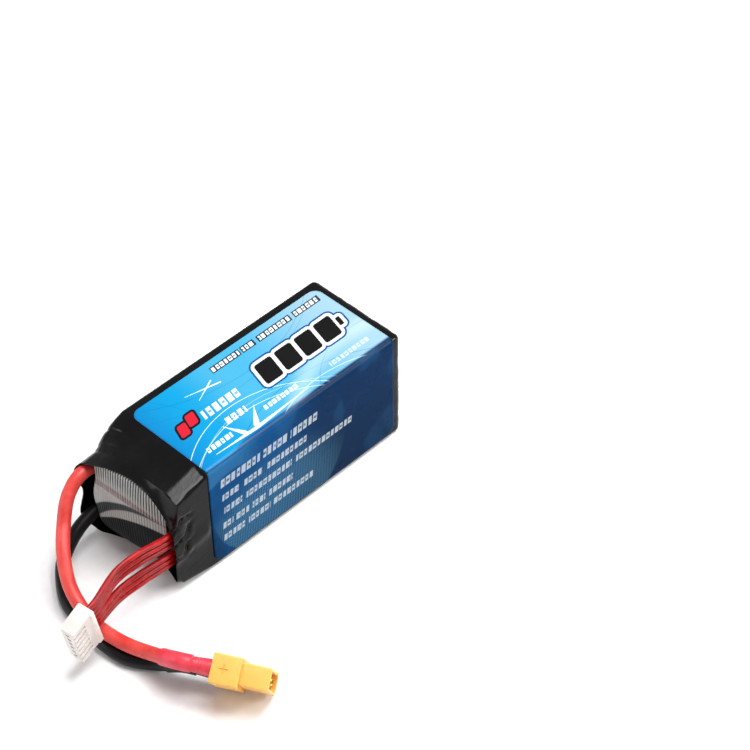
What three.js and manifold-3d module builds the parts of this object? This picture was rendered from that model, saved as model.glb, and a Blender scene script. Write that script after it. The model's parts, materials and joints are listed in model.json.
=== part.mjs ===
// A lithium-polymer battery pack for a model: five pouch cells in series, shrink-wrapped into a
// block, with a pair of main leads ending in a two-pole power plug and a six-wire balance lead
// ending in a white crimp housing.
//
// Millimetres, +Z up. The origin is the middle of the face the pack rests on. The pack's length
// runs along Y, its lead end faces -Y, and the long labelled side faces +X.
import * as THREE from "three";
import { mergeVertices } from "three/addons/utils/BufferGeometryUtils.js";
import Module from "manifold-3d";

const wasm = await Module();
wasm.setup();

// ---------------------------------------------------------------- driving dimensions

const PACK = { width: 34.8, height: 38, shoulder: -30, rear: 45 };
const WRAP = { thickness: 0.3, corner: 1.4 };
const MOUTH = { bottom: 2.6, top: 34, corner: 3, leftSag: 3.8, rightSag: 11 };
const NECK = { y: -41, bottom: 1.4, top: 34.7, corner: 3.2, leftSag: 4.6, rightSag: 0.4 };
// The wrap's front lip: where it is at the top and at the bottom, and how much further forward
// it runs on either side.
const LIP = { top: -43.5, topLeft: 4.9, bottom: -39.9, bottomLeft: 6.8, bottomRight: 3.6, neck: 2.2 };
const LABEL = { thickness: 0.2, gap: 0.05, left: -14, bottom: 1.75, rear: 41.5, corner: 3 };

const CELL = { count: 5, width: 33.4, height: 7, front: -30, rear: 42.6, edge: 2.2, base: 0.5 };
const PAD = { thickness: 0.4, clearance: 0.05, inset: 1.5 };
const TERRACE = { width: 31, depth: 4, thickness: 0.5, lean: 1.4 };
const TAB = { width: 7, offset: 8, thickness: 0.3, gap: 0.3, front: -37.4 };
const END_TAB_FOLD = 4;
const CELL_PITCH = CELL.height + PAD.thickness + 2 * PAD.clearance;

const BOARD = { width: 32.4, bottom: 4.5, top: 28.5, rear: -37.9, thickness: 1 };
const INSULATOR = { left: -12.4, right: 12.6, bottom: 7.2, top: 26, rear: -40.2, thickness: 0.3 };
const REAR_PAD = { width: 29, bottom: 3, top: 35, front: 42.8, thickness: 1.6, corner: 2 };
const TAPE = {
  left: -12.4,
  right: 12.9,
  flank: 2,
  thickness: 0.4,
  leftEdge: -44.7,
  rightEdge: -42,
  bulge: 1.4,
  tuck: 2.4,
  fold: -39.2,
  back: -33.5,
};

const LEAD = { radius: 2, bore: 1.35, core: 1.2, strip: 3, sides: 6 };
const LEAD_SLEEVE = { radius: 2.5, bore: 2.15, start: 4.2 };
const WIRE = { radius: 0.8, sides: 4 };

// The power plug: a rear block, a slimmer nose with a pocket in its front, and two round sockets.
const PLUG = {
  position: [49.8, -59.2, 9],
  yaw: 31,
  pitch: 3,
  roll: 123,
  width: 16,
  depth: 8.1,
  blockLength: 7.8,
  noseLength: 8,
  noseWidth: 14.2,
  noseDepth: 6.2,
  chamfer: 1.6,
  pocketWidth: 12.2,
  pocketDepth: 4.6,
  pocketLength: 3,
  spacing: 7.2,
};
const SOCKET = { radius: 2, bore: 1.5, clearance: 0.15, cup: 4, cupDepth: 3.4, hole: 8 };

// The balance plug: a flat housing with a row of through cavities, comb slots at its mouth and
// a slightly thicker flange where the wires go in.
const COMB = {
  position: [18.5, -74.4, 16.3],
  yaw: -80,
  pitch: 14.2,
  roll: -96.2,
  poles: 6,
  pitchMm: 2.5,
  width: 17.3,
  depth: 4.6,
  length: 8.6,
  flangeLength: 1.4,
  flangeDepth: 5.3,
  cavity: 1.9,
  slotWidth: 1.1,
  slotLength: 4.6,
};
const TERMINAL = { size: 1.5, hole: 0.9, start: 2.6, length: 5.2 };

// Where the leads bend: the places on the table plane of the hinges that stand in for the
// flexing of the silicone insulation, and the free length left between the rigid stretches.
const BENDS = {
  exit: { at: [-14.9, -45], gap: 1.6 },
  loop: { at: [-6.3, -64.5], gap: 1.8 },
  turn: { at: [22.5, -69.5], gap: 3 },
  lift: { at: [31, -66.8], gap: 2.4 },
  balance: { at: [16.2, -65.5], gap: 1.2 },
};

// ---------------------------------------------------------------- materials

function finish(color, roughness, metalness = 0) {
  return new THREE.MeshStandardMaterial({ color, roughness, metalness });
}

const WRAP_BLACK = finish(0x101113, 0.28);
const LABEL_BLUE = finish(0x27a3dc, 0.35);
const TAPE_GREY = finish(0xb4b8b4, 0.45);
const POUCH_SILVER = finish(0xb9bcc0, 0.35, 0.6);
const FOAM_GREY = finish(0x55585c, 0.9);
const TAB_NICKEL = finish(0xc4c2ba, 0.35, 0.9);
const BOARD_GREEN = finish(0x1f5a34, 0.5);
const PAPER_GREY = finish(0x8f948f, 0.85);
const SILICONE_RED = finish(0xcf2f2b, 0.5);
const SILICONE_BLACK = finish(0x17181a, 0.5);
const SLEEVE_PINK = finish(0xd93a55, 0.35);
const SLEEVE_BLACK = finish(0x121214, 0.35);
const COPPER = finish(0xb8673a, 0.4, 0.9);
const NYLON_YELLOW = finish(0xf2b53a, 0.45);
const GOLD = finish(0xd9a441, 0.25, 1);
const NYLON_WHITE = finish(0xe9e7e1, 0.4);
const TIN = finish(0xb8bbbd, 0.3, 0.9);

// ---------------------------------------------------------------- solids and helpers

// A closed three.js geometry as a solid that can be joined and cut.
function solidOf(geometry) {
  const bare = geometry.clone();
  bare.deleteAttribute("normal");
  bare.deleteAttribute("uv");
  const merged = mergeVertices(bare, 1e-4);
  return new wasm.Manifold(
    new wasm.Mesh({
      numProp: 3,
      vertProperties: new Float32Array(merged.attributes.position.array),
      triVerts: new Uint32Array(merged.index.array),
    }),
  );
}

// A joined or cut solid back as three.js geometry.
function geometryOf(solid) {
  const mesh = solid.getMesh();
  const geometry = new THREE.BufferGeometry();
  geometry.setAttribute("position", new THREE.BufferAttribute(mesh.vertProperties, 3));
  geometry.setIndex(new THREE.BufferAttribute(mesh.triVerts, 1));
  geometry.computeVertexNormals();
  return geometry;
}

// A box between two corners.
function box(low, high) {
  const size = low.map((value, axis) => high[axis] - value);
  const middle = low.map((value, axis) => (high[axis] + value) / 2);
  return new THREE.BoxGeometry(...size).translate(...middle);
}

// A rounded rectangle centred on the origin of its plane.
function roundedRectangle(width, height, radius) {
  const x = width / 2 - radius;
  const y = height / 2 - radius;
  const shape = new THREE.Shape();
  shape.absarc(x, y, radius, 0, Math.PI / 2);
  shape.absarc(-x, y, radius, Math.PI / 2, Math.PI);
  shape.absarc(-x, -y, radius, Math.PI, Math.PI * 1.5);
  shape.absarc(x, -y, radius, Math.PI * 1.5, Math.PI * 2);
  return shape;
}

function extrude(shape, depth, curveSegments = 3) {
  return new THREE.ExtrudeGeometry(shape, { depth, bevelEnabled: false, curveSegments });
}

// A plate standing across the pack: its shape lies in XZ and its thickness runs from y to y + depth.
function standingPlate(shape, y, depth, z, curveSegments = 3) {
  return extrude(shape, depth, curveSegments).rotateX(Math.PI / 2).translate(0, y + depth, z);
}

// A sheet with thickness: the same grid of points on both faces, joined round the border.
// Row direction crossed with column direction points out of the outer face. With wrap the
// columns run in a closed loop, so only the first and last rows have a border.
function thickSheet(outer, inner, wrap = false) {
  const rows = outer.length;
  const columns = outer[0].length;
  const points = [...outer.flat(), ...inner.flat()];
  const index = (side, row, column) => (side * rows + row) * columns + (column % columns);
  const triangles = [];
  const quad = (a, b, c, d) => triangles.push(a, c, b, a, d, c);
  const lastColumn = wrap ? columns : columns - 1;
  for (let r = 0; r < rows - 1; r++) {
    for (let c = 0; c < lastColumn; c++) {
      quad(index(0, r, c), index(0, r, c + 1), index(0, r + 1, c + 1), index(0, r + 1, c));
      quad(index(1, r, c), index(1, r + 1, c), index(1, r + 1, c + 1), index(1, r, c + 1));
    }
  }
  for (let c = 0; c < lastColumn; c++) {
    quad(index(0, 0, c), index(1, 0, c), index(1, 0, c + 1), index(0, 0, c + 1));
    const r = rows - 1;
    quad(index(0, r, c), index(0, r, c + 1), index(1, r, c + 1), index(1, r, c));
  }
  if (!wrap) {
    const c = columns - 1;
    for (let r = 0; r < rows - 1; r++) {
      quad(index(0, r, 0), index(0, r + 1, 0), index(1, r + 1, 0), index(1, r, 0));
      quad(index(0, r, c), index(1, r, c), index(1, r + 1, c), index(0, r + 1, c));
    }
  }
  const geometry = new THREE.BufferGeometry();
  const coordinates = new Float32Array(points.flatMap((p) => [p.x, p.y, p.z]));
  geometry.setAttribute("position", new THREE.BufferAttribute(coordinates, 3));
  geometry.setIndex(triangles);
  geometry.computeVertexNormals();
  return geometry;
}

function place(x, y, z) {
  return new THREE.Vector3(x, y, z);
}

const root = new THREE.Group();

function addTo(group, name, geometry, material) {
  const mesh = new THREE.Mesh(geometry, material);
  mesh.name = name;
  group.add(mesh);
}

// ---------------------------------------------------------------- cells and what joins them

function cellMiddle(cell) {
  return CELL.base + CELL.height / 2 + (cell - 1) * CELL_PITCH;
}

// The height of a cell's terrace: the outer cells' terraces lean in towards the middle one.
function terraceHeight(cell) {
  return cellMiddle(cell) + ((CELL.count + 1) / 2 - cell) * TERRACE.lean;
}

// A pouch cell: a pillow with rounded long edges, and the flat sealed terrace at its tab end.
function pouchCell(cell) {
  const outline = roundedRectangle(CELL.width, CELL.height, CELL.edge);
  const length = CELL.rear - CELL.front;
  const body = standingPlate(outline, CELL.front, length, cellMiddle(cell));
  const z = terraceHeight(cell);
  const terrace = box(
    [-TERRACE.width / 2, CELL.front - TERRACE.depth, z - TERRACE.thickness / 2],
    [TERRACE.width / 2, CELL.front + 1, z + TERRACE.thickness / 2],
  );
  return geometryOf(solidOf(body).add(solidOf(terrace)));
}

function cellPad(gapAbove) {
  const z = cellMiddle(gapAbove) + CELL.height / 2 + PAD.clearance;
  const halfWidth = CELL.width / 2 - CELL.edge - PAD.inset;
  return box(
    [-halfWidth, CELL.front + PAD.inset, z],
    [halfWidth, CELL.rear - PAD.inset, z + PAD.thickness],
  );
}

// The side on which a cell's positive tab comes out: it alternates up the stack.
function positiveSide(cell) {
  return cell % 2 === 1 ? 1 : -1;
}

// A strip of tab metal whose outline lies in the YZ plane, cut to the tab's width.
function tabStrip(side, outline) {
  const shape = new THREE.Shape(outline.map(([y, z]) => new THREE.Vector2(y, z)));
  return extrude(shape, TAB.width)
    .rotateY(Math.PI / 2)
    .rotateX(Math.PI / 2)
    .translate(side * TAB.offset - TAB.width / 2, 0, 0);
}

// Two neighbouring cells' tabs, bent towards each other and welded into one staple.
function weldedTabs(lowerCell) {
  const back = CELL.front - TERRACE.depth - TAB.gap;
  const bottom = terraceHeight(lowerCell) - TAB.thickness / 2;
  const top = terraceHeight(lowerCell + 1) + TAB.thickness / 2;
  const t = TAB.thickness;
  return tabStrip(positiveSide(lowerCell), [
    [back, bottom],
    [back, bottom + t],
    [TAB.front + t, bottom + t],
    [TAB.front + t, top - t],
    [back, top - t],
    [back, top],
    [TAB.front, top],
    [TAB.front, bottom],
  ]);
}

// The pack's first or last tab: it leaves its cell and bends towards the middle of the stack.
function endTab(cell, side, bend) {
  const back = CELL.front - TERRACE.depth - TAB.gap;
  const z = terraceHeight(cell);
  const halfBend = (bend * TAB.thickness) / 2;
  const fold = TAB.front + TAB.thickness;
  const end = z + bend * END_TAB_FOLD;
  return tabStrip(side, [
    [back, z - halfBend],
    [back, z + halfBend],
    [fold, z + halfBend],
    [fold, end],
    [TAB.front, end],
    [TAB.front, z - halfBend],
  ]);
}

function balanceBoard() {
  const height = BOARD.top - BOARD.bottom;
  const outline = roundedRectangle(BOARD.width, height, 1);
  const front = BOARD.rear - BOARD.thickness;
  return standingPlate(outline, front, BOARD.thickness, BOARD.bottom + height / 2, 2);
}

function frontInsulator() {
  const front = INSULATOR.rear - INSULATOR.thickness;
  return box(
    [INSULATOR.left, front, INSULATOR.bottom],
    [INSULATOR.right, INSULATOR.rear, INSULATOR.top],
  );
}

function rearPad() {
  const height = REAR_PAD.top - REAR_PAD.bottom;
  const outline = roundedRectangle(REAR_PAD.width, height, REAR_PAD.corner);
  const z = REAR_PAD.bottom + height / 2;
  return standingPlate(outline, REAR_PAD.front, REAR_PAD.thickness, z);
}

// ---------------------------------------------------------------- wrap, tape and label

// How far the wrap's top drops at a place across the pack, at one of its stations. It drops
// late and steeply on the labelled side.
function archDrop({ leftSag, rightSag }, x) {
  const out = Math.abs(x) / (PACK.width / 2);
  return x < 0 ? leftSag * out ** 2 : rightSag * out ** 3;
}

// One ring of the wrap: a rounded rectangle in the XZ plane whose top can sag towards its sides.
// The points run anticlockwise as seen from the lead end, starting at the right of the bottom.
function wrapRing(station, shrink) {
  const { y, inset, bottom, top, corner } = station;
  const halfWidth = PACK.width / 2 - inset - shrink;
  const low = bottom + shrink;
  const high = top - shrink;
  const radius = Math.max(corner - shrink, 0.3);
  const steps = 4;
  const ring = [];
  const corners = [
    [halfWidth - radius, low + radius, -90],
    [halfWidth - radius, high - radius, 0],
    [radius - halfWidth, high - radius, 90],
    [radius - halfWidth, low + radius, 180],
  ];
  corners.forEach(([x, z, start], number) => {
    for (let i = 0; i <= steps; i++) {
      const angle = THREE.MathUtils.degToRad(start + (90 * i) / steps);
      ring.push([x + radius * Math.cos(angle), z + radius * Math.sin(angle)]);
    }
    if (number === 1) {
      for (const share of [0.6, 0.2, -0.2, -0.6]) ring.push([share * halfWidth, high]);
    }
  });
  const middle = (low + high) / 2;
  return ring.map(([x, z]) => {
    const upper = Math.max(0, (z - middle) / (high - middle));
    const drop = archDrop(station, x) * upper;
    const up = (z - low) / (high - low);
    return new THREE.Vector3(x, typeof y === "function" ? y(x, up) : y, z - drop);
  });
}

// Where the front lip is, from 0 at the bottom of its ring to 1 at the top. It runs forward on
// the side where the main leads come out, and is drawn back under them.
function lipFront(x, up) {
  const half = PACK.width / 2;
  const lead = Math.max(0, (2 - x) / (2 + half)) ** 1.6;
  const top = LIP.top - LIP.topLeft * lead;
  const out = Math.abs(x) / half;
  const bottom = LIP.bottom - (x < 0 ? LIP.bottomLeft * out ** 1.3 : LIP.bottomRight * out ** 2);
  return bottom + (top - bottom) * up;
}

// The neck stays level at the top, and follows the lip at the bottom.
function neckFront(x, up) {
  const bottom = lipFront(x, 0) + LIP.neck;
  return bottom + (NECK.y - bottom) * up;
}

// The height of the wrap's top between its mouth and its shoulder.
function wrapTop(x, y) {
  const level = (station) => station.top - archDrop(station, x);
  const full = { y: PACK.shoulder, top: PACK.height, leftSag: 0, rightSag: 0 };
  const lip = { ...MOUTH, y: LIP.top };
  const [front, back] = y < NECK.y ? [lip, NECK] : [NECK, full];
  const share = (y - front.y) / (back.y - front.y);
  return level(front) + (level(back) - level(front)) * share;
}

// The heat-shrink wrap: an open-ended bag of even thickness. In front of the shoulder it slopes
// down to its neck and folds over there to an arched mouth. On the labelled side its long top
// edge runs on to the neck as a ridge. At the rear it folds over the end of the stack.
function heatShrinkWrap() {
  const { height, shoulder, rear } = PACK;
  const { thickness } = WRAP;
  const square = { leftSag: 0, rightSag: 0, corner: WRAP.corner };
  const drawnIn = (inset) => ({ ...square, inset, bottom: inset, top: height - inset });
  const stations = [
    { ...MOUTH, inset: 0, y: lipFront },
    { ...NECK, inset: 0, y: neckFront },
    { ...drawnIn(0), y: shoulder },
    { ...drawnIn(0), y: rear - 2.5 },
    { ...drawnIn(0.6), y: rear - 0.8 },
    { ...drawnIn(2.4), y: rear },
    { ...drawnIn(7), y: rear + 0.1 },
  ];
  const outer = stations.map((station) => wrapRing(station, 0));
  const inner = stations.map((station, i) => {
    const back = i >= stations.length - 2 ? thickness : 0;
    const y = typeof station.y === "function" ? station.y : station.y - back;
    const shrink = i === stations.length - 1 ? 0 : thickness;
    return wrapRing({ ...station, y }, shrink);
  });
  return thickSheet(outer, inner, true);
}

// One sheet that covers most of the top, turns over the long edge and covers the side.
// Its four corners are rounded.
function label() {
  const right = PACK.width / 2;
  const topLength = right - WRAP.corner - LABEL.left;
  const arcLength = (WRAP.corner * Math.PI) / 2;
  const sideLength = PACK.height - WRAP.corner - LABEL.bottom;
  const total = topLength + arcLength + sideLength;
  const cornerSteps = 4;
  const stops = [];
  for (let i = 0; i <= cornerSteps; i++) {
    stops.push(LABEL.corner * (1 - Math.cos((i / cornerSteps) * (Math.PI / 2))));
  }
  for (let i = 0; i <= cornerSteps; i++) stops.push(topLength + (arcLength * i) / cornerSteps);
  for (let i = cornerSteps; i >= 0; i--) stops.push(total - stops[i]);
  const across = (s, offset) => {
    if (s <= topLength) return [LABEL.left + s, PACK.height + offset];
    if (s >= topLength + arcLength) {
      return [right + offset, PACK.height - WRAP.corner - (s - topLength - arcLength)];
    }
    const angle = Math.PI / 2 - (s - topLength) / WRAP.corner;
    const radius = WRAP.corner + offset;
    return [
      right - WRAP.corner + radius * Math.cos(angle),
      PACK.height - WRAP.corner + radius * Math.sin(angle),
    ];
  };
  const trim = (s) => {
    const edge = Math.min(s, total - s);
    if (edge >= LABEL.corner) return 0;
    return LABEL.corner - Math.sqrt(LABEL.corner ** 2 - (LABEL.corner - edge) ** 2);
  };
  const face = (offset) =>
    stops.map((s) => {
      const [x, z] = across(s, offset);
      const cut = Math.min(trim(s), LABEL.corner - 0.05);
      return [PACK.shoulder + cut, LABEL.rear - cut].map((y) => new THREE.Vector3(x, y, z));
    });
  return thickSheet(face(LABEL.gap + LABEL.thickness), face(LABEL.gap));
}

// Glass-filament tape: it comes out from under the wrap, bulges over the lead end and goes
// back under the wrap at the bottom. It stands further forward beside the main leads, and
// reaches out between them.
function filamentTape() {
  const columns = 7;
  const rows = 8;
  const face = (inset) => {
    const clearance = WRAP.thickness + 0.5 + inset;
    const line = (share) => {
      const across = 1 - (2 * share - 1) ** 2;
      const edge = TAPE.leftEdge + (TAPE.rightEdge - TAPE.leftEdge) * share;
      const x = TAPE.left + (TAPE.right - TAPE.left) * share;
      const low = MOUTH.bottom + clearance;
      const high = MOUTH.top - archDrop(MOUTH, x) - clearance;
      const column = [place(x, TAPE.back, NECK.bottom + clearance)];
      for (let r = 0; r <= rows; r++) {
        const up = r / rows;
        const bulge = TAPE.bulge * across * Math.sin(Math.PI * up);
        const tuck = TAPE.tuck * Math.max(0, 1 - up / 0.25) ** 2;
        const flank = TAPE.flank * (1 - share) ** 4 * Math.sin(Math.PI * up) ** 4;
        column.push(place(x - flank, edge - bulge + tuck + inset, low + (high - low) * up));
      }
      for (const y of [TAPE.fold, TAPE.back]) column.push(place(x, y, wrapTop(x, y) - clearance));
      return column;
    };
    const lines = [];
    for (let c = 0; c < columns; c++) lines.push(line(c / (columns - 1)));
    return lines;
  };
  return thickSheet(face(0), face(TAPE.thickness));
}

// ---------------------------------------------------------------- plugs

// A group in a plug's own frame: X the way it mates, Y along its row of contacts.
function plugGroup({ position, yaw, pitch, roll }) {
  const group = new THREE.Group();
  const turn = (degrees) => THREE.MathUtils.degToRad(degrees);
  group.rotation.set(turn(roll), turn(pitch), turn(yaw), "ZYX");
  group.position.set(...position);
  group.updateMatrixWorld(true);
  root.add(group);
  return group;
}

// A prism along a plug's X axis from a shape drawn in its YZ plane.
function plugPrism(shape, from, to, curveSegments = 3) {
  return extrude(shape, to - from, curveSegments)
    .rotateX(Math.PI / 2)
    .rotateZ(Math.PI / 2)
    .translate(from, 0, 0);
}

// The plug's outline, a rectangle with its two negative-side corners cut off.
function keyedOutline(width, depth, chamfer) {
  const y = width / 2;
  const z = depth / 2;
  return new THREE.Shape([
    new THREE.Vector2(y, -z),
    new THREE.Vector2(y, z),
    new THREE.Vector2(chamfer - y, z),
    new THREE.Vector2(-y, z - chamfer),
    new THREE.Vector2(-y, chamfer - z),
    new THREE.Vector2(chamfer - y, -z),
  ]);
}

function powerPlugHousing() {
  const length = PLUG.blockLength + PLUG.noseLength;
  const block = plugPrism(keyedOutline(PLUG.width, PLUG.depth, PLUG.chamfer), 0, PLUG.blockLength);
  const noseOutline = keyedOutline(PLUG.noseWidth, PLUG.noseDepth, PLUG.chamfer * 0.8);
  const nose = plugPrism(noseOutline, PLUG.blockLength - 1, length);
  const pocketOutline = roundedRectangle(PLUG.pocketWidth, PLUG.pocketDepth, 0.8);
  const pocket = plugPrism(pocketOutline, length - PLUG.pocketLength, length + 1, 2);
  let housing = solidOf(block).add(solidOf(nose)).subtract(solidOf(pocket));
  for (const side of [-1, 1]) {
    const radius = SOCKET.radius + SOCKET.clearance;
    const hole = new THREE.CylinderGeometry(radius, radius, length + 2, 16)
      .rotateZ(Math.PI / 2)
      .translate(length / 2, (side * PLUG.spacing) / 2, 0);
    housing = housing.subtract(solidOf(hole));
  }
  return geometryOf(housing);
}

// A round contact: a solder cup behind the housing and a socket bored in its front.
function socketContact(side) {
  const { radius, bore, cup, cupDepth, hole } = SOCKET;
  const front = PLUG.blockLength + PLUG.noseLength - 1;
  const outline = [
    [0, cupDepth - cup],
    [bore, cupDepth - cup],
    [bore, -cup],
    [radius, -cup],
    [radius, front],
    [bore, front],
    [bore, front - hole],
    [0, front - hole],
  ].map(([r, x]) => new THREE.Vector2(r, x));
  return new THREE.LatheGeometry(outline, 14)
    .rotateZ(-Math.PI / 2)
    .translate(0, (side * PLUG.spacing) / 2, 0);
}

function poleOffset(pole) {
  return (pole - (COMB.poles + 1) / 2) * COMB.pitchMm;
}

function balancePlugHousing() {
  const { width, depth, length, flangeLength, flangeDepth, cavity, slotWidth } = COMB;
  const body = box([0, -width / 2, -depth / 2], [length, width / 2, depth / 2]);
  const flange = box([0, -width / 2, -depth / 2], [flangeLength, width / 2, flangeDepth - depth / 2]);
  let housing = solidOf(body).add(solidOf(flange));
  for (let pole = 1; pole <= COMB.poles; pole++) {
    const y = poleOffset(pole);
    const half = cavity / 2;
    const hole = box([-1, y - half, -half], [length + 1, y + half, half]);
    const slot = box(
      [length - COMB.slotLength, y - slotWidth / 2, 0],
      [length + 1, y + slotWidth / 2, depth],
    );
    housing = housing.subtract(solidOf(hole)).subtract(solidOf(slot));
  }
  return geometryOf(housing);
}

// A crimp terminal: a square tube that takes the pin of the mating header.
function crimpTerminal(pole) {
  const outline = roundedRectangle(TERMINAL.size, TERMINAL.size, 0.2);
  outline.holes.push(roundedRectangle(TERMINAL.hole, TERMINAL.hole, 0.1));
  const end = TERMINAL.start + TERMINAL.length;
  return plugPrism(outline, TERMINAL.start, end, 1).translate(0, poleOffset(pole), 0);
}

// ---------------------------------------------------------------- leads and wires

// Part of a curve between two shares of its length.
class Stretch extends THREE.Curve {
  constructor(curve, from, to) {
    super();
    this.curve = curve;
    this.from = from;
    this.to = to;
  }

  getPoint(share, target = new THREE.Vector3()) {
    return this.curve.getPointAt(this.from + (this.to - this.from) * share, target);
  }
}

// The share of a curve's length at which it passes closest to a place on the table plane.
function shareNear(curve, [x, y]) {
  const samples = 400;
  let best = 0;
  let least = Infinity;
  for (let i = 0; i <= samples; i++) {
    const point = curve.getPointAt(i / samples);
    const distance = Math.hypot(point.x - x, point.y - y);
    if (distance < least) {
      least = distance;
      best = i / samples;
    }
  }
  return best;
}

// A round bar or tube along a stretch of curve.
function cord(curve, from, to, radius, bore, sides) {
  const shape = new THREE.Shape();
  shape.absarc(0, 0, radius, 0, Math.PI * 2);
  if (bore > 0) {
    const hole = new THREE.Path();
    hole.absarc(0, 0, bore, 0, Math.PI * 2);
    shape.holes.push(hole);
  }
  const stretch = new Stretch(curve, from, to);
  const steps = Math.max(2, Math.round(((to - from) * curve.getLength()) / 2.5));
  return new THREE.ExtrudeGeometry(shape, {
    extrudePath: stretch,
    steps,
    curveSegments: sides,
    bevelEnabled: false,
  });
}

function curveThrough(points) {
  return new THREE.CatmullRomCurve3(points, false, "centripetal");
}

// A main lead from its solder joint on the board to the solder cup in the power plug. It is
// cut into rigid stretches at the bends, and stripped at both ends.
function mainLead(colour, jacket, sleeve, points) {
  const curve = curveThrough(points);
  const length = curve.getLength();
  const bends = [BENDS.exit, BENDS.loop, BENDS.turn, BENDS.lift];
  const cuts = bends.map((bend) => {
    const share = shareNear(curve, bend.at);
    const half = bend.gap / 2 / length;
    return [share - half, share + half];
  });
  const strip = LEAD.strip / length;
  const cup = SOCKET.cup / length;
  const sleeveEnd = 1 - 0.3 / length;
  const stretches = [
    ["board_end", strip, cuts[0][0], LEAD.bore],
    ["near", cuts[0][1], cuts[1][0], 0],
    ["far", cuts[1][1], cuts[2][0], 0],
    ["last", cuts[2][1], cuts[3][0], 0],
    ["plug_end", cuts[3][1], 1 - cup - 0.5 / length, LEAD.bore],
  ];
  for (const [name, from, to, bore] of stretches) {
    const geometry = cord(curve, from, to, LEAD.radius, bore, LEAD.sides);
    addTo(root, `${colour}_lead_${name}`, geometry, jacket);
  }
  const boardCore = cord(curve, 0.1 / length, cuts[0][0], LEAD.core, 0, WIRE.sides);
  addTo(root, `${colour}_lead_strands_board_end`, boardCore, COPPER);
  const coreEnd = 1 - (SOCKET.cup - SOCKET.cupDepth + 0.3) / length;
  const plugCore = cord(curve, cuts[3][1], coreEnd, LEAD.core, 0, WIRE.sides);
  addTo(root, `${colour}_lead_strands_plug_end`, plugCore, COPPER);
  const sleeveStart = cuts[3][1] + LEAD_SLEEVE.start / length;
  const tube = cord(curve, sleeveStart, sleeveEnd, LEAD_SLEEVE.radius, LEAD_SLEEVE.bore, LEAD.sides);
  addTo(root, `${colour}_lead_sleeve`, tube, sleeve);
}

// Where a point of a plug's own frame lies in the pack's frame.
function inPack(group, x, y, z) {
  return place(x, y, z).applyMatrix4(group.matrixWorld);
}

function mainLeads(plug) {
  const boardFront = BOARD.rear - BOARD.thickness;
  const redPole = PLUG.spacing / 2;
  mainLead("red", SILICONE_RED, SLEEVE_PINK, [
    place(-14.9, boardFront, 27),
    place(-14.9, -44, 27.6),
    place(-14.9, -47.4, 27.8),
    place(-14.7, -50.6, 26.6),
    place(-13.6, -54.6, 23.6),
    place(-11.2, -58.3, 19.4),
    place(-5.6, -63.8, 15),
    place(0.6, -67.5, 10),
    place(7, -68.9, 6.8),
    place(15, -69.7, 6.2),
    place(24, -68.6, 6.2),
    place(32, -66.7, 7.4),
    inPack(plug, -9, redPole, 0),
    inPack(plug, -4, redPole, 0),
    inPack(plug, 0, redPole, 0),
  ]);
  mainLead("black", SILICONE_BLACK, SLEEVE_BLACK, [
    place(-14.9, boardFront, 11),
    place(-14.9, -44, 10.8),
    place(-14.5, -52, 8.4),
    place(-12.3, -59.5, 4),
    place(-8, -63.8, 2.2),
    place(-1, -68, 2.1),
    place(8, -70, 2.1),
    place(16.5, -70.6, 2.1),
    place(25, -69.8, 2.1),
    place(32.5, -65.6, 2.4),
    inPack(plug, -9, -redPole, 0),
    inPack(plug, -4, -redPole, 0),
    inPack(plug, 0, -redPole, 0),
  ]);
}

// The balance wires leave the pack stacked one above another, in two groups of three, and fan
// out to the pitch of the plug. Wire 1 is the lowest.
function balanceWires(plug) {
  const start = BOARD.rear - BOARD.thickness - 2.3;
  for (let wire = 1; wire <= COMB.poles; wire++) {
    const exitHeight = wire <= 3 ? 10.8 + 1.9 * (wire - 1) : 18.2 + 1.9 * (wire - 4);
    const pole = COMB.poles + 1 - wire;
    const entry = inPack(plug, TERMINAL.start - 0.3, poleOffset(pole), 0);
    const mouth = inPack(plug, 0, poleOffset(pole), 0);
    const behind = inPack(plug, -3, poleOffset(pole) * 0.94, 0);
    const rise = 1 + 0.25 * (wire - 1);
    const curve = curveThrough([
      place(15, start, exitHeight),
      place(15.2, -45, exitHeight),
      place(15.3, -54, exitHeight + rise * 0.8),
      place(15.2, -62, exitHeight + rise * 0.6),
      behind,
      mouth,
      entry,
    ]);
    const share = shareNear(curve, BENDS.balance.at);
    const half = BENDS.balance.gap / 2 / curve.getLength();
    const near = cord(curve, 0, share - half, WIRE.radius, 0, WIRE.sides);
    const far = cord(curve, share + half, 1, WIRE.radius, 0, WIRE.sides);
    addTo(root, `balance_wire_${wire}`, near, SILICONE_RED);
    addTo(root, `balance_wire_${wire}_plug_end`, far, SILICONE_RED);
  }
}

// ---------------------------------------------------------------- assembly

for (let cell = 1; cell <= CELL.count; cell++) {
  addTo(root, `cell_${cell}`, pouchCell(cell), POUCH_SILVER);
}
for (let gap = 1; gap < CELL.count; gap++) {
  addTo(root, `cell_pad_${gap}`, cellPad(gap), FOAM_GREY);
  addTo(root, `tab_weld_${gap}_${gap + 1}`, weldedTabs(gap), TAB_NICKEL);
}
addTo(root, "pack_negative_tab", endTab(1, -positiveSide(1), 1), TAB_NICKEL);
addTo(root, "pack_positive_tab", endTab(CELL.count, positiveSide(CELL.count), -1), TAB_NICKEL);
addTo(root, "balance_board", balanceBoard(), BOARD_GREEN);
addTo(root, "front_insulator", frontInsulator(), PAPER_GREY);
addTo(root, "rear_pad", rearPad(), FOAM_GREY);
addTo(root, "filament_tape", filamentTape(), TAPE_GREY);
addTo(root, "heat_shrink_wrap", heatShrinkWrap(), WRAP_BLACK);
addTo(root, "label", label(), LABEL_BLUE);

const powerPlug = plugGroup(PLUG);
addTo(powerPlug, "power_plug_housing", powerPlugHousing(), NYLON_YELLOW);
addTo(powerPlug, "power_plug_positive_socket", socketContact(1), GOLD);
addTo(powerPlug, "power_plug_negative_socket", socketContact(-1), GOLD);
mainLeads(powerPlug);

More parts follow.
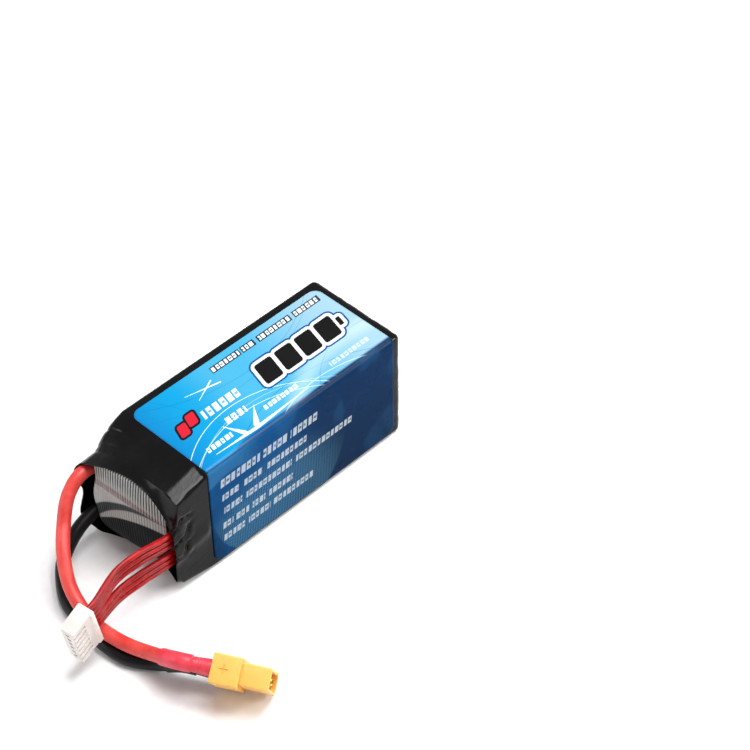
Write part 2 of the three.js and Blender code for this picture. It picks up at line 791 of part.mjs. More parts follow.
const balancePlug = plugGroup(COMB);
addTo(balancePlug, "balance_plug_housing", balancePlugHousing(), NYLON_WHITE);
for (let pole = 1; pole <= COMB.poles; pole++) {
  addTo(balancePlug, `balance_terminal_${pole}`, crimpTerminal(pole), TIN);
}
balanceWires(balancePlug);

export default root;
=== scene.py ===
"""The looks of a lithium-polymer battery pack, built round its CAD frame.

Every length in this script is in millimetres until a mesh is made, and the axes are the
frame's: +Z up, the leads at -Y, the labelled side at +X. Places come from the CAD nodes.
"""
import cmath
import json
import math

import bmesh
import bpy
import numpy as np
from mathutils import Matrix, Vector, noise


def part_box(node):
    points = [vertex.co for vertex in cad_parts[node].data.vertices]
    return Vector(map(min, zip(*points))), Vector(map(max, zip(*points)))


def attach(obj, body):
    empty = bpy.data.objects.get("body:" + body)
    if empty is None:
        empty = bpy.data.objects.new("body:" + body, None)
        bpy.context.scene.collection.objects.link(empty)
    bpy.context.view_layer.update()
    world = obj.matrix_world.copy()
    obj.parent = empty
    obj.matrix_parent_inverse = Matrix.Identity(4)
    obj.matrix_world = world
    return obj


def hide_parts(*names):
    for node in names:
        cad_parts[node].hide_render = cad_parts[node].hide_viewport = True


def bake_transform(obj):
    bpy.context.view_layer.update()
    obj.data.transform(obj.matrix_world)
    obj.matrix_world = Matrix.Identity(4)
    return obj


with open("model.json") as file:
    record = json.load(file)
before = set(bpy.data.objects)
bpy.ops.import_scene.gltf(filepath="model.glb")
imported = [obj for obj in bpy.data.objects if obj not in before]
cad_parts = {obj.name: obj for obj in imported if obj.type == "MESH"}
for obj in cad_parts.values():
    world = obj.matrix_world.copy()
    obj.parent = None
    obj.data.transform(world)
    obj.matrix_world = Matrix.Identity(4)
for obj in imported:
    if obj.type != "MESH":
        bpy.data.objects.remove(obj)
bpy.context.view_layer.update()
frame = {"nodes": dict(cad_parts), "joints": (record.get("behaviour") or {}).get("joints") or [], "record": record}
MM = 0.001


# ---------------------------------------------------------------- places read from the frame

def node_box(node):
    """The lowest and highest corner of a CAD node, in millimetres."""
    return np.array([list(corner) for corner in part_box(node)]) / MM


def mount(name):
    """A mount's point in millimetres, and its axis."""
    found = next(m for m in frame["record"]["mounts"] if m["name"] == name)
    return np.array(found["pos_m"]) / MM, np.array(found["axis"])


def joint_place(name):
    found = next(j for j in frame["joints"] if j["name"] == name)
    return np.array(found["pos_m"]) / MM


HALF_WIDTH, REAR, HEIGHT = node_box("heat_shrink_wrap")[1].tolist()
LABEL_LOW, LABEL_HIGH = node_box("label").tolist()
SHOULDER = LABEL_LOW[1]

# ---------------------------------------------------------------- driving dimensions

FILM = 0.28
WRAP_CORNER = 1.4
# The wrap's sections at its mouth, its neck and its shoulder: how far the bottom is drawn up, how
# high the top is, the radius of its corners and of its ridge above the label, how far the top sags
# towards either side and how far it leans down beside the ridge.
MOUTH = {"bottom": 2.6, "top": 34.0, "corner": 3.0, "ridge": 3.0, "left_sag": 3.8, "right_sag": 11.0,
         "bevel": 0.0}
NECK = {"bottom": 1.4, "top": 35.1, "corner": 2.2, "ridge": 0.7, "left_sag": 5.0, "right_sag": 0.2,
        "bevel": 1.4}
BODY = {"bottom": 0.0, "top": HEIGHT, "corner": WRAP_CORNER, "ridge": WRAP_CORNER,
        "left_sag": 0.0, "right_sag": 0.0, "bevel": 0.0}
# The film leans down beside its ridge, from here out.
BEVEL_START = 12.5
NECK_FRONT = -41.0
# The front lip: where it is at the top and at the bottom, and how much further forward it runs
# on either side; the neck keeps a little behind it at the bottom.
LIP = {"top": -43.5, "top_left": 4.9, "bottom": -39.9, "bottom_left": 6.8, "bottom_right": 3.6, "neck": 2.2}
# At the rear the film turns in with this radius, and reaches this far over the end of the stack.
REAR_TURN = 2.4
REAR_REACH = 7.0
# How many steps a ring of the wrap has along each edge and round each corner.
RING = {"bottom": 44, "side": 40, "corner": 10, "top": 56}

LABEL_CORNER = 3.0
LABEL_FILM = 0.16
LABEL_CLEARANCE = 0.09
LABEL_UV_SPAN = 100.0
# Where the label turns over the long edge, from its own edge on the top.
FOLD = HALF_WIDTH - WRAP_CORNER - LABEL_LOW[0] + WRAP_CORNER * math.pi / 4

TAPE = {"left": -12.4, "right": 12.9, "flank": 1.9, "left_edge": -45.1, "right_edge": -42.2,
        "bulge": 1.3, "tuck": 2.4, "fold": -39.2, "clearance": 0.8, "film": 0.3}
RIB_PITCH = 0.92

LEAD_RADIUS = 2.0
LEAD_STRIP = 3.0
STRANDS_RADIUS = 1.2
SLEEVE = {"radius": 2.38, "wall": 0.3, "start": 5.4, "overlap": 0.6}
CUP_LENGTH = 3.6
WIRE_RADIUS = 0.8
# The joints of the leads and of the wires, and how far on either side of each the bend reaches.
MAIN_BENDS = {"main_lead_swing": 4.0, "main_lead_curl": 7.0, "power_plug_turn": 6.5, "power_plug_lift": 2.9}
WIRE_BENDS = {"balance_lead_swing": 2.6, "balance_plug_turn": 2.6}

PLUG = {"length": 15.8, "block": 7.8, "width": 16.0, "depth": 8.1, "nose_width": 14.2, "nose_depth": 6.2,
        "chamfer": 1.6, "fillet": 0.45, "face_offset": 2.7}
POCKET = {"width": 12.2, "depth": 4.5, "length": 2.2}
CONTACT = {"radius": 2.0, "bore": 1.5, "hole": 8.0, "clearance": 0.12}
# The plus and the minus on the plug: how far an arm reaches, half its width and its depth.
MARK = {"arm": 1.25, "half": 0.2, "deep": 0.22}

COMB = {"poles": 6, "pitch": 2.5, "width": 17.3, "depth": 4.6, "length": 8.6, "bevel": 0.28,
        "cavity": 1.9, "face_offset": -1.6}
COMB_FLANGE = {"length": 1.4, "depth": 5.0}
COMB_SLOT = {"width": 1.0, "length": 4.6, "floor": 1.8}
# The pin holes through the comb's mouth: their width, and how thick the wall they go through is.
COMB_PIN = {"width": 1.1, "wall": 0.7}


# ---------------------------------------------------------------- mesh helpers

def smooth(value, start, end):
    """0 before start, 1 after end, with an even ramp between; works on arrays too."""
    share = np.clip((value - start) / (end - start), 0, 1)
    return share * share * (3 - 2 * share)


def hump(value, place, width):
    """1 where the value is at the place, and falling away on either side."""
    return np.exp(-((value - place) / width) ** 2)


def mesh_object(name, points, faces, sharp=35, closed=True):
    """A smooth-shaded piece from points in millimetres. Edges sharper than the angle stay crisp,
    and a closed piece has its faces turned outwards."""
    mesh = bpy.data.meshes.new(name)
    mesh.from_pydata((np.asarray(points, float).reshape(-1, 3) * MM).tolist(), [], faces)
    if closed:
        work = bmesh.new()
        work.from_mesh(mesh)
        bmesh.ops.recalc_face_normals(work, faces=work.faces)
        work.to_mesh(mesh)
        work.free()
    mesh.shade_smooth()
    mesh.set_sharp_from_angle(angle=math.radians(sharp))
    piece = bpy.data.objects.new(name, mesh)
    bpy.context.scene.collection.objects.link(piece)
    return piece


def grid_faces(rows, columns, closed=False):
    """Quads between points stored row by row; closed joins the last column to the first."""
    faces = []
    for row in range(rows - 1):
        for column in range(columns if closed else columns - 1):
            a = row * columns + column
            b = row * columns + (column + 1) % columns
            faces.append((a, b, b + columns, a + columns))
    return faces


def grid_normals(points, closed=False):
    """Unit normals of a grid: the way down its rows crossed with the way along them."""
    down = np.gradient(points, axis=0)
    along = np.gradient(points, axis=1)
    if closed:
        along = np.roll(points, -1, axis=1) - np.roll(points, 1, axis=1)
    normals = np.cross(down, along)
    return normals / np.maximum(np.linalg.norm(normals, axis=2, keepdims=True), 1e-9)


def noise_at(points, scale, seed=0.0):
    """Smooth noise between about -1 and 1 at each point of an array, one bump per scale mm."""
    shift = Vector((seed * 7.3, seed * 3.1, seed * 5.7))
    values = [noise.noise(Vector(p) / scale + shift) for p in points.reshape(-1, 3).tolist()]
    return np.array(values).reshape(points.shape[:-1])


def sheet(name, points, thickness, closed=False):
    """Film through a grid of points, with its thickness on the side of the pack's middle."""
    piece = mesh_object(name, points, grid_faces(*points.shape[:2], closed), 60, False)
    middle = Vector((0, 0, HEIGHT / 2 * MM))
    if sum(face.normal.dot(face.center - middle) * face.area for face in piece.data.polygons) < 0:
        piece.data.flip_normals()
    solidify = piece.modifiers.new("thickness", "SOLIDIFY")
    solidify.thickness = thickness * MM
    solidify.offset = -1
    return piece


def solid(name, rings, sharp=35):
    """A closed solid through rings of equal length, capped at both ends."""
    rows, sides = np.shape(rings)[:2]
    faces = grid_faces(rows, sides, True)
    faces += [tuple(range(sides)), tuple(range((rows - 1) * sides, rows * sides))]
    return mesh_object(name, rings, faces, sharp)


def lay_uv(piece, uvs):
    """Gives a piece its UV map, from one pair for each point."""
    corners = [loop.vertex_index for loop in piece.data.loops]
    piece.data.uv_layers.new(name="map").uv.foreach_set("vector", uvs.reshape(-1, 2)[corners].ravel())


def round_edges(piece, width):
    bevel = piece.modifiers.new("edges", "BEVEL")
    bevel.width = width * MM
    bevel.segments = 2
    bevel.limit_method = "ANGLE"
    bevel.angle_limit = math.radians(40)
    bevel.harden_normals = True


def cut(piece, tools):
    """Cuts the tools out of a piece and removes them."""
    for tool in tools:
        boolean = piece.modifiers.new("cut", "BOOLEAN")
        boolean.operation = "DIFFERENCE"
        boolean.solver = "EXACT"
        boolean.object = tool
    bpy.context.view_layer.update()
    graph = bpy.context.evaluated_depsgraph_get()
    mesh = bpy.data.meshes.new_from_object(piece.evaluated_get(graph), depsgraph=graph)
    piece.modifiers.clear()
    piece.data = mesh
    for tool in tools:
        bpy.data.objects.remove(tool)


def dress(piece, material, slot, body=None, *nodes):
    """Paints a piece, lets it ride and hides the CAD nodes it stands for; its slot is not used."""
    piece.data.materials.clear()
    piece.data.materials.append(material)
    if nodes:
        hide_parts(*nodes)
    if body:
        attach(piece, body)


# ---------------------------------------------------------------- materials

def srgb(*values):
    """A colour given as a screen shows it, 0 to 255, as the linear values that nodes take."""
    shares = [value / 255 for value in values]
    return (*(s / 12.92 if s <= 0.04045 else ((s + 0.055) / 1.055) ** 2.4 for s in shares), 1.0)


class Term:
    """A value that a material's nodes work out. It takes part in sums as plain numbers do."""

    def __init__(self, socket):
        self.socket = socket

    def __add__(self, other):
        return worked("ADD", self, other)

    def __sub__(self, other):
        return worked("SUBTRACT", self, other)

    def __rsub__(self, other):
        return worked("SUBTRACT", other, self)

    def __mul__(self, other):
        return worked("MULTIPLY", self, other)

    def __abs__(self):
        return worked("ABSOLUTE", self)

    __radd__ = __add__
    __rmul__ = __mul__


def feed(value, socket):
    """Gives a node's input a term, a number or a colour."""
    if isinstance(value, Term):
        socket.id_data.links.new(value.socket, socket)
    else:
        socket.default_value = value


def add_node(kind, *values, **settings):
    """A new node beside those of the terms it takes, with values for its first inputs."""
    tree = next(value.socket.id_data for value in values if isinstance(value, Term))
    node = tree.nodes.new("ShaderNode" + kind)
    for name, value in settings.items():
        setattr(node, name, value)
    for value, socket in zip(values, node.inputs):
        feed(value, socket)
    return node


def worked(operation, *values):
    return Term(add_node("Math", *values, operation=operation).outputs[0])


def least(first, second):
    return worked("MINIMUM", first, second)


def most(first, second):
    return worked("MAXIMUM", first, second)


def sine(value):
    return worked("SINE", value)


def diagonal(first, second):
    return worked("SQRT", first * first + second * second)


def ramp(value, start, end, low=0.0, high=1.0):
    """Goes smoothly from low to high as the value goes from start to end."""
    node = add_node("MapRange", value, start, end, low, high, interpolation_type="SMOOTHSTEP")
    return Term(node.outputs[0])


def mix(share, first, second):
    node = add_node("Mix", share, data_type="RGBA")
    feed(first, node.inputs[6])
    feed(second, node.inputs[7])
    return Term(node.outputs[2])


def scaled(vector, *scale):
    return Term(add_node("VectorMath", vector, scale, operation="MULTIPLY").outputs[0])


def parts(vector):
    return [Term(socket) for socket in add_node("SeparateXYZ", vector).outputs]


def mottle(vector, scale, detail=2.0, roughness=0.5, distortion=0.0):
    """Noise around one half, one bump per scale of the vector's units."""
    node = add_node("TexNoise", vector)
    node.inputs["Scale"].default_value = 1 / scale
    node.inputs["Detail"].default_value = detail
    node.inputs["Roughness"].default_value = roughness
    node.inputs["Distortion"].default_value = distortion
    return Term(node.outputs[0])


def bump(height, depth, strength=1.0, normal=None):
    """A bump whose height of 1 stands for depth in millimetres."""
    node = height.socket.id_data.nodes.new("ShaderNodeBump")
    node.inputs["Strength"].default_value = strength
    node.inputs["Distance"].default_value = depth * MM
    feed(height, node.inputs["Height"])
    if normal is not None:
        feed(normal, node.inputs["Normal"])
    return Term(node.outputs[0])


def new_skin(name):
    """An empty node material, to be finished once its looks are worked out."""
    skin = bpy.data.materials.new(name)
    skin.use_nodes = True
    return skin


def source(skin, kind, output):
    return Term(skin.node_tree.nodes.new("ShaderNode" + kind).outputs[output])


def place_on(skin):
    """The place on the piece in the frame, in millimetres."""
    return scaled(source(skin, "TexCoord", "Object"), 1 / MM, 1 / MM, 1 / MM)


def uv_on(skin):
    return source(skin, "TexCoord", "UV")


def finished(skin, colour, roughness, normal=None, **inputs):
    """Sets the surface's inputs, named as in Blender with underscores for spaces."""
    inputs.update(Base_Color=colour, Roughness=roughness)
    if normal is not None:
        inputs["Normal"] = normal
    for name, value in inputs.items():
        feed(value, skin.node_tree.nodes["Principled BSDF"].inputs[name.replace("_", " ")])
    return skin


# Flat graphics are drawn from how far a place is outside a shape.

def outside_box(u, v, centre, half, corner=0.0, slant=0.0):
    """How far (u, v) is outside a rounded box; slant leans it, in v per u."""
    across = u - centre[0]
    along = v - centre[1] + across * slant
    du = abs(across) + (corner - half[0])
    dv = abs(along) + (corner - half[1])
    return diagonal(most(du, 0), most(dv, 0)) + least(most(du, dv), 0) - corner


def outside_circle(u, v, centre, radius):
    return diagonal(u - centre[0], v - centre[1]) - radius


def filled(distance, margin=0.0, soft=0.08):
    """1 where the distance is less than the margin, with a soft edge."""
    return ramp(distance, margin + soft, margin - soft)


def stroke(distance, width, soft=0.08):
    """1 along the line where the distance is 0."""
    return filled(abs(distance), width / 2, soft)


def shrink_film():
    """Black heat-shrink film: glossy, with fine crinkles, dust and faint scuffs."""
    skin = new_skin("shrink_film")
    place = place_on(skin)
    cloud = mottle(place, 9, 4, 0.6)
    grain = mottle(place, 0.5, 3, 0.6)
    scuffs = mottle(scaled(place, 0.5, 0.08, 0.5), 0.35, 3, 0.7)
    crinkle = mottle(scaled(place, 1, 0.55, 1), 2.6, 3, 0.55, 0.6)
    colour = mix(ramp(cloud, 0.35, 0.75), srgb(4, 4, 6), srgb(9, 9, 11))
    rough = ramp(cloud, 0.3, 0.75, 0.17, 0.25) + ramp(scuffs, 0.55, 0.8, 0.0, 0.1)
    normal = bump(grain, 0.01, 0.4, bump(crinkle, 0.2, 0.25))
    shine = ramp(parts(source(skin, "NewGeometry", "Normal"))[2], 0.0, 0.4, 0.09, 0.25)
    return finished(skin, colour, rough, normal, Specular_IOR_Level=shine)


def front_sweep(u, v):
    """1 inside a wide circle on the side, which leaves the label's front corner out."""
    return filled(outside_circle(u, v, (FOLD + 18, 26), 25.5), 0, 0.4)


def label_fields(u, v, place):
    """The cyan field of the top and the blue field of the side, which meet beside the long edge."""
    cyan = mix(ramp(v, -6, 14), srgb(0, 108, 169), srgb(0, 136, 186))
    cyan = mix(ramp(v, 12, 30), cyan, srgb(62, 153, 190))
    # The cyan is printed paler towards the rear end; this last, greyish stretch is painted reflection.
    cyan = mix(ramp(v, 36, 72), cyan, srgb(140, 174, 194))
    blue = mix(ramp(v, 22, 44), srgb(0, 68, 120), srgb(0, 40, 78))
    # A paler sheet of colour with a wavy upper edge rises over the side.
    crest = u + sine(v * 0.2) * 1.6 + v * 0.05
    pale = mix(ramp(v, 14, 54), srgb(22, 80, 124), srgb(10, 46, 76))
    raised = ramp(crest, FOLD + 21, FOLD + 23.5, 0, 0.9) * front_sweep(u, v)
    blue = mix(raised, blue, pale)
    # A lighter band with a wavy edge at the top of the side, near the front end: painted reflection.
    near = ramp(crest, FOLD + 7.5, FOLD + 6) * ramp(v, 22, 8)
    blue = mix(near * 0.9, blue, srgb(38, 100, 150))
    cloud = mottle(place, 14, 2, 0.5, 0.4)
    blue = mix(ramp(cloud, 0.5, 0.62, 0, 0.12), blue, srgb(50, 118, 170))
    meeting = ramp(v, 17, 8, FOLD - 1.6, FOLD - 0.3)
    return mix(ramp(u - meeting, -0.5, 0.6), cyan, blue)


def halftone(u, v):
    """Rows of small diamonds over the lower half of the side, fading out upwards."""
    dots = ramp(sine((u + v) * 5.0) * sine((u - v) * 5.0), 0.1, 0.4)
    sweep = outside_circle(u, v, (FOLD + 40, 24), 30)
    return dots * ramp(sweep, 4, -12, 0, 0.85) * front_sweep(u, v)


def painted_side_shade(u, v):
    """Painted shade: the side is darkened towards the bottom, most of all at its front corner."""
    depth = ramp(u, FOLD - 0.3, FOLD + 3, 0, 0.12) + ramp(u, FOLD + 3, FOLD + 34, 0, 0.26)
    return depth + ramp(u, FOLD + 18, FOLD + 34, 0, 0.25) * ramp(v, 5, 1)


def arcs(u, v, colour):
    """Sweeping arcs and a pale glow on the top."""
    top_only = ramp(u, FOLD - 0.6, FOLD - 1.6)
    white, dark = srgb(236, 242, 244), srgb(0, 72, 124)
    for centre, radius, width, ink, strength in (
            ((51.5, 21), 33.8, 0.2, white, 0.7),
            ((60, 21.4), 38.1, 0.2, white, 0.6),
            ((60, 24.4), 39.4, 0.14, white, 0.35),
            ((70, 40), 47.5, 0.2, dark, 0.5),
            ((66, 46), 39, 0.3, white, 0.4),
            ((-44, 34), 55, 0.18, dark, 0.4),
            ((-46, 30), 60, 0.16, dark, 0.3),
            ((30, -36), 52, 0.2, dark, 0.3),
            ((46, 66), 27, 0.25, dark, 0.4)):
        line = stroke(outside_circle(u, v, centre, radius), width)
        colour = mix(line * top_only * strength, colour, ink)
    glow = abs(outside_circle(u, v, (60, 62), 40))
    return mix(ramp(glow, 5, 0, 0, 0.35) * top_only, colour, srgb(196, 212, 220))


def streaks(u, v, colour):
    """White streaks that swell from one end to the other."""
    for first, last, start, end in (
            ((28.3, 6.4), (28.8, 21.0), 0.08, 0.5),
            ((28.8, 21.0), (27.9, 41.5), 0.5, 0.06),
            ((22.0, 14.6), (28.2, 17.4), 0.1, 0.7),
            ((21.8, 26.2), (28.0, 21.6), 0.06, 0.8),
            ((6.0, 15.0), (8.6, 26.0), 0.06, 0.22),
            ((9.8, 17.0), (6.2, 24.5), 0.06, 0.2)):
        along = (last[0] - first[0], last[1] - first[1])
        square = along[0] ** 2 + along[1] ** 2
        du, dv = u - first[0], v - first[1]
        reach = least(most(du * (along[0] / square) + dv * (along[1] / square), 0), 1)
        distance = diagonal(du - reach * along[0], dv - reach * along[1])
        streak = filled(distance - ramp(reach, 0, 1, start, end))
        colour = mix(streak, colour, srgb(236, 242, 244))
    return colour


def charge_gauge(u, v, colour):
    """Four bold blocks and a nub that share a white and a blue outline."""
    gauge = outside_box(u, v, (14.9, 66.6), (1.7, 0.8), 0.4, 0.26)
    for step in range(4):
        block = outside_box(u, v, (14.9, 38.6 + 7.7 * step), (4.1, 3.2), 0.9, 0.26)
        gauge = least(gauge, block)
    colour = mix(filled(gauge, 1.7), colour, srgb(0, 66, 128))
    colour = mix(filled(gauge, 1.1), colour, srgb(212, 216, 216))
    return mix(filled(gauge), colour, srgb(8, 8, 9))


def red_blocks(u, v, colour):
    """Two red blocks that share a black edge."""
    upper = outside_box(u, v, (15.2, 6.3), (2.2, 1.6), 0.7, 0.35)
    blocks = least(upper, outside_box(u, v, (13.6, 10.6), (2.2, 1.6), 0.7, 0.35))
    colour = mix(filled(blocks, 0.75), colour, srgb(12, 10, 12))
    return mix(filled(blocks), colour, srgb(188, 24, 44))


def row_outline(along, across, spans, spread=0.0):
    """1 inside a row of small print, which has a span for each word."""
    reach = None
    for first, last in spans:
        stretch = abs(along - (first + last) / 2) - (last - first) / 2
        reach = stretch if reach is None else least(reach, stretch)
    return filled(most(across, reach), spread)


def print_row(u, v, line, spans, half, pitch, slant, spread=0.0):
    """A row of small print stood for by blocks: one per letter, and none of them a letter. With a
    spread, the row's plain outline grown by so much."""
    off = u - line
    along = v + off * slant
    along = along + sine(along * 2.3) * 0.12
    outline = row_outline(along, abs(off) - half, spans, spread)
    if spread:
        return outline
    gap = worked("PINGPONG", along, pitch / 2)
    hollow = ramp(abs(off), half * 0.42, half * 0.15) * ramp(gap, 0.22 * pitch, 0.3 * pitch)
    chosen = ramp(sine(along * 1.3), -0.3, 0.3)
    return outline * ramp(gap, 0.1 * pitch, 0.17 * pitch) * (1 - hollow * chosen * 0.85)


def small_print(u, v, colour):
    """The rows on the top, then the rows on the side. Each has a line, its words' spans, half its
    height and the pitch of its letters."""
    edge_row = (3.6, ((27.5, 37.6), (39.2, 43.4), (45.4, 57.6), (59.4, 69.0)), 0.85, 1.6)
    colour = mix(print_row(u, v, *edge_row, 0.2, 0.4), colour, srgb(10, 34, 52))
    top_rows = (
        edge_row,
        (14.9, ((13.6, 26.8),), 1.6, 2.5),
        (25.7, ((5.4, 14.6),), 0.9, 1.7),
        (21.2, ((16.6, 23.8),), 1.2, 2.3),
        (24.9, ((27.2, 40.2),), 0.8, 1.6))
    for row in top_rows:
        colour = mix(print_row(u, v, *row, 0.25), colour, srgb(214, 218, 218))
    faint = print_row(u, v, 25.8, ((52, 67),), 0.8, 1.6, 0.2)
    colour = mix(faint * 0.5, colour, srgb(222, 226, 226))
    side_rows = (
        (FOLD + 7.3, ((4, 18.7), (20.2, 29.1), (30.6, 41)), 1.5, 1.95),
        (FOLD + 13.0, ((4.3, 10.6), (12.2, 19.5), (21, 36.5)), 1.15, 1.75),
        (FOLD + 18.2, ((4.6, 11.5), (12.9, 30.5), (32, 54)), 1.15, 1.75),
        (FOLD + 23.9, ((4, 7.6), (8.9, 13.6), (15, 20), (21.2, 30.6)), 1.15, 1.75),
        (FOLD + 28.7, ((4, 11.8), (13.2, 21.5), (23, 38.6)), 1.15, 1.75))
    for row in side_rows:
        colour = mix(print_row(u, v, *row, 0.12) * 0.68, colour, srgb(190, 200, 206))
    return colour


def label_print_and_painted_light():
    """The printed label: a cyan top, a blue side, arcs, a charge gauge and blocks for small print, with painted
    shade and painted reflection mixed into its colours.

    U runs across the sheet from its edge on the top, V runs from the lead end."""
    skin = new_skin("label_print_and_painted_light")
    u, v, _ = parts(scaled(uv_on(skin), LABEL_UV_SPAN, LABEL_UV_SPAN, LABEL_UV_SPAN))
    colour = label_fields(u, v, place_on(skin))
    colour = mix(halftone(u, v), colour, srgb(96, 150, 184))
    # Painted shade over the side, darkest low down and at its front corner.
    colour = mix(painted_side_shade(u, v), colour, srgb(0, 8, 20))
    for layer in (arcs, streaks, charge_gauge, red_blocks, small_print):
        colour = layer(u, v, colour)
    # Painted shade: a dark line along the crease where the sheet turns over the pack's long edge.
    crease = stroke(u - FOLD, 0.3, 0.2)
    colour = mix(crease * 0.8, colour, srgb(2, 10, 20))
    waves = mottle(place_on(skin), 9, 2, 0.5)
    grain = mottle(place_on(skin), 0.35, 2)
    normal = bump(grain, 0.006, 0.3, bump(waves, 0.12, 0.25))
    shine = ramp(u, FOLD - 1, FOLD + 1, 0.2, 0.02)
    return finished(skin, colour, ramp(waves, 0.3, 0.7, 0.26, 0.34), normal, Specular_IOR_Level=shine)


def filament_film():
    """Translucent tape over the lead end, with glass filaments running up it."""
    skin = new_skin("filament_film")
    place = place_on(skin)
    x, _, z = parts(place)

    def above(peak, middle, bend, soft=0.4):
        """1 above a parabola in the XZ plane, which has its peak at the middle."""
        out = x - middle
        return ramp(z + out * out * bend - peak, -soft, soft)

    grain = mottle(scaled(place, 6, 6, 0.5), 1.0, 3, 0.6)
    colour = mix(ramp(grain, 0.3, 0.7), srgb(166, 170, 168), srgb(188, 190, 188))
    rib = abs(sine((x - TAPE["left"]) * (math.pi / RIB_PITCH)))
    gap = ramp(rib, 0.85, 0.2)
    # What shows through: the dark board behind the upper part, with a red wire along its lower edge.
    # Under that, where the edges of the layers curve away, the colours are painted light: a dark band of
    # painted shade, a pale crescent of painted highlight and, lowest, painted shade.
    board = ramp(rib, 0.98, 0.35) * above(25.6, -4, 0.0125, 0.6)
    shade = ramp(above(28.4, -4, 0.02, 2.2), 0, 1, 0.5, 0.95)
    colour = mix(board * shade, colour, srgb(20, 44, 36))
    broken = ramp(mottle(scaled(place, 1, 1, 0.2), 0.6, 2), 0.35, 0.6, 0.55, 0.95)
    wire = above(24.3, -4, 0.0125, 0.3) * (1 - above(26.6, -4, 0.0125, 0.5)) * broken
    colour = mix(wire * (0.5 + gap * 0.5), colour, srgb(98, 24, 26))
    upper = above(24, 4, 0.03)
    # Below this line the tape is painted dark: a band of painted shade.
    colour = mix(upper, srgb(60, 66, 68), colour)
    # Below a lower line it is painted pale again: a crescent of painted highlight.
    colour = mix(above(23.0, 7, 0.031), srgb(172, 173, 169), colour)
    # Lowest, painted shade where the face turns under, darker towards the bottom.
    lower = above(19.5, 9, 0.021)
    under = mix(ramp(z, 5, 15), srgb(2, 3, 4), srgb(24, 29, 31))
    colour = mix(lower, under, colour)
    colour = mix(gap * (1 - upper * 0.85) * 0.55, colour, srgb(14, 20, 20))
    normal = bump(sine(x * (2 * math.pi / 0.23)), 0.012, 0.4)
    return finished(skin, colour, 0.36, normal, Specular_IOR_Level=(lower * 0.8 + 0.2) * 0.14)


def silicone(name, deep, pale, gloss=0.42, lumps=1.0, shine=0.5):
    """Satin silicone insulation with a soft bloom and fine drawn lines."""
    skin = new_skin(name)
    cloud = mottle(place_on(skin), 6, 3, 0.6)
    grain = mottle(place_on(skin), 0.25, 2, 0.6)
    colour = mix(ramp(cloud, 0.3, 0.72), deep, pale)
    rough = ramp(cloud, 0.3, 0.7, gloss - 0.05, gloss + 0.07)
    normal = bump(grain, 0.03 * lumps, 0.5 * lumps, bump(cloud, 0.2 * lumps, 0.3))
    return finished(skin, colour, rough, normal, Specular_IOR_Level=shine, Subsurface_Weight=0.08,
                     Subsurface_Scale=0.8 * MM, Subsurface_Radius=(1.0, 0.3, 0.2))


def sleeve_film(name, deep, pale):
    """A shrink sleeve: thin, glossy and slightly lumpy."""
    skin = new_skin(name)
    lumps = mottle(place_on(skin), 3.2, 3, 0.55)
    grain = mottle(place_on(skin), 0.4, 2)
    colour = mix(ramp(lumps, 0.35, 0.7), deep, pale)
    normal = bump(grain, 0.015, 0.4, bump(lumps, 0.12, 0.3))
    return finished(skin, colour, 0.36, normal, Specular_IOR_Level=0.4, Subsurface_Weight=0.08,
                     Subsurface_Scale=0.5 * MM)


def nylon(name, body, edge, clear):
    """Moulded nylon: slightly see-through, paler or warmer where it is thin, with a fine spark grain."""
    skin = new_skin(name)
    cloud = mottle(place_on(skin), 5, 3, 0.5)
    grain = mottle(place_on(skin), 0.22, 2, 0.6)
    colour = mix(ramp(cloud, 0.35, 0.7, 0.0, 0.25), body, edge)
    colour = mix(ramp(source(skin, "NewGeometry", "Pointiness"), 0.52, 0.6) * 0.35, colour, edge)
    rough = ramp(cloud, 0.3, 0.7, 0.36, 0.46)
    normal = bump(grain, 0.02, 0.5, bump(cloud, 0.12, 0.25))
    return finished(skin, colour, rough, normal, Subsurface_Weight=clear, Subsurface_Scale=1.2 * MM,
                     Subsurface_Radius=(1.0, 0.7, 0.4))


def metal(name, base, tint, rough):
    """Plated metal with drawn lines and a slight tarnish."""
    skin = new_skin(name)
    tarnish = mottle(place_on(skin), 2.5, 3, 0.6)
    drawn = mottle(scaled(place_on(skin), 1, 6, 6), 0.6, 2)
    colour = mix(ramp(tarnish, 0.35, 0.75), base, tint)
    roughness = ramp(drawn, 0.3, 0.7, rough - 0.06, rough + 0.1)
    return finished(skin, colour, roughness, bump(drawn, 0.015, 0.4), Metallic=1.0)


def foam():
    """Closed-cell foam tape."""
    skin = new_skin("foam")
    cells = mottle(place_on(skin), 0.5, 4, 0.7)
    cloud = mottle(place_on(skin), 6, 2)
    colour = mix(ramp(cells, 0.3, 0.7), srgb(44, 46, 48), srgb(84, 87, 90))
    colour = mix(ramp(cloud, 0.4, 0.7, 0, 0.4), colour, srgb(104, 106, 108))
    return finished(skin, colour, 0.9, bump(cells, 0.15, 0.8))


def paper():
    """Grey insulating paper with short fibres."""
    skin = new_skin("insulation_paper")
    fibres = mottle(scaled(place_on(skin), 0.6, 1, 2.2), 0.5, 4, 0.7, 0.8)
    colour = mix(ramp(fibres, 0.3, 0.7), srgb(126, 132, 126), srgb(168, 172, 166))
    return finished(skin, colour, 0.85, bump(fibres, 0.05, 0.6))


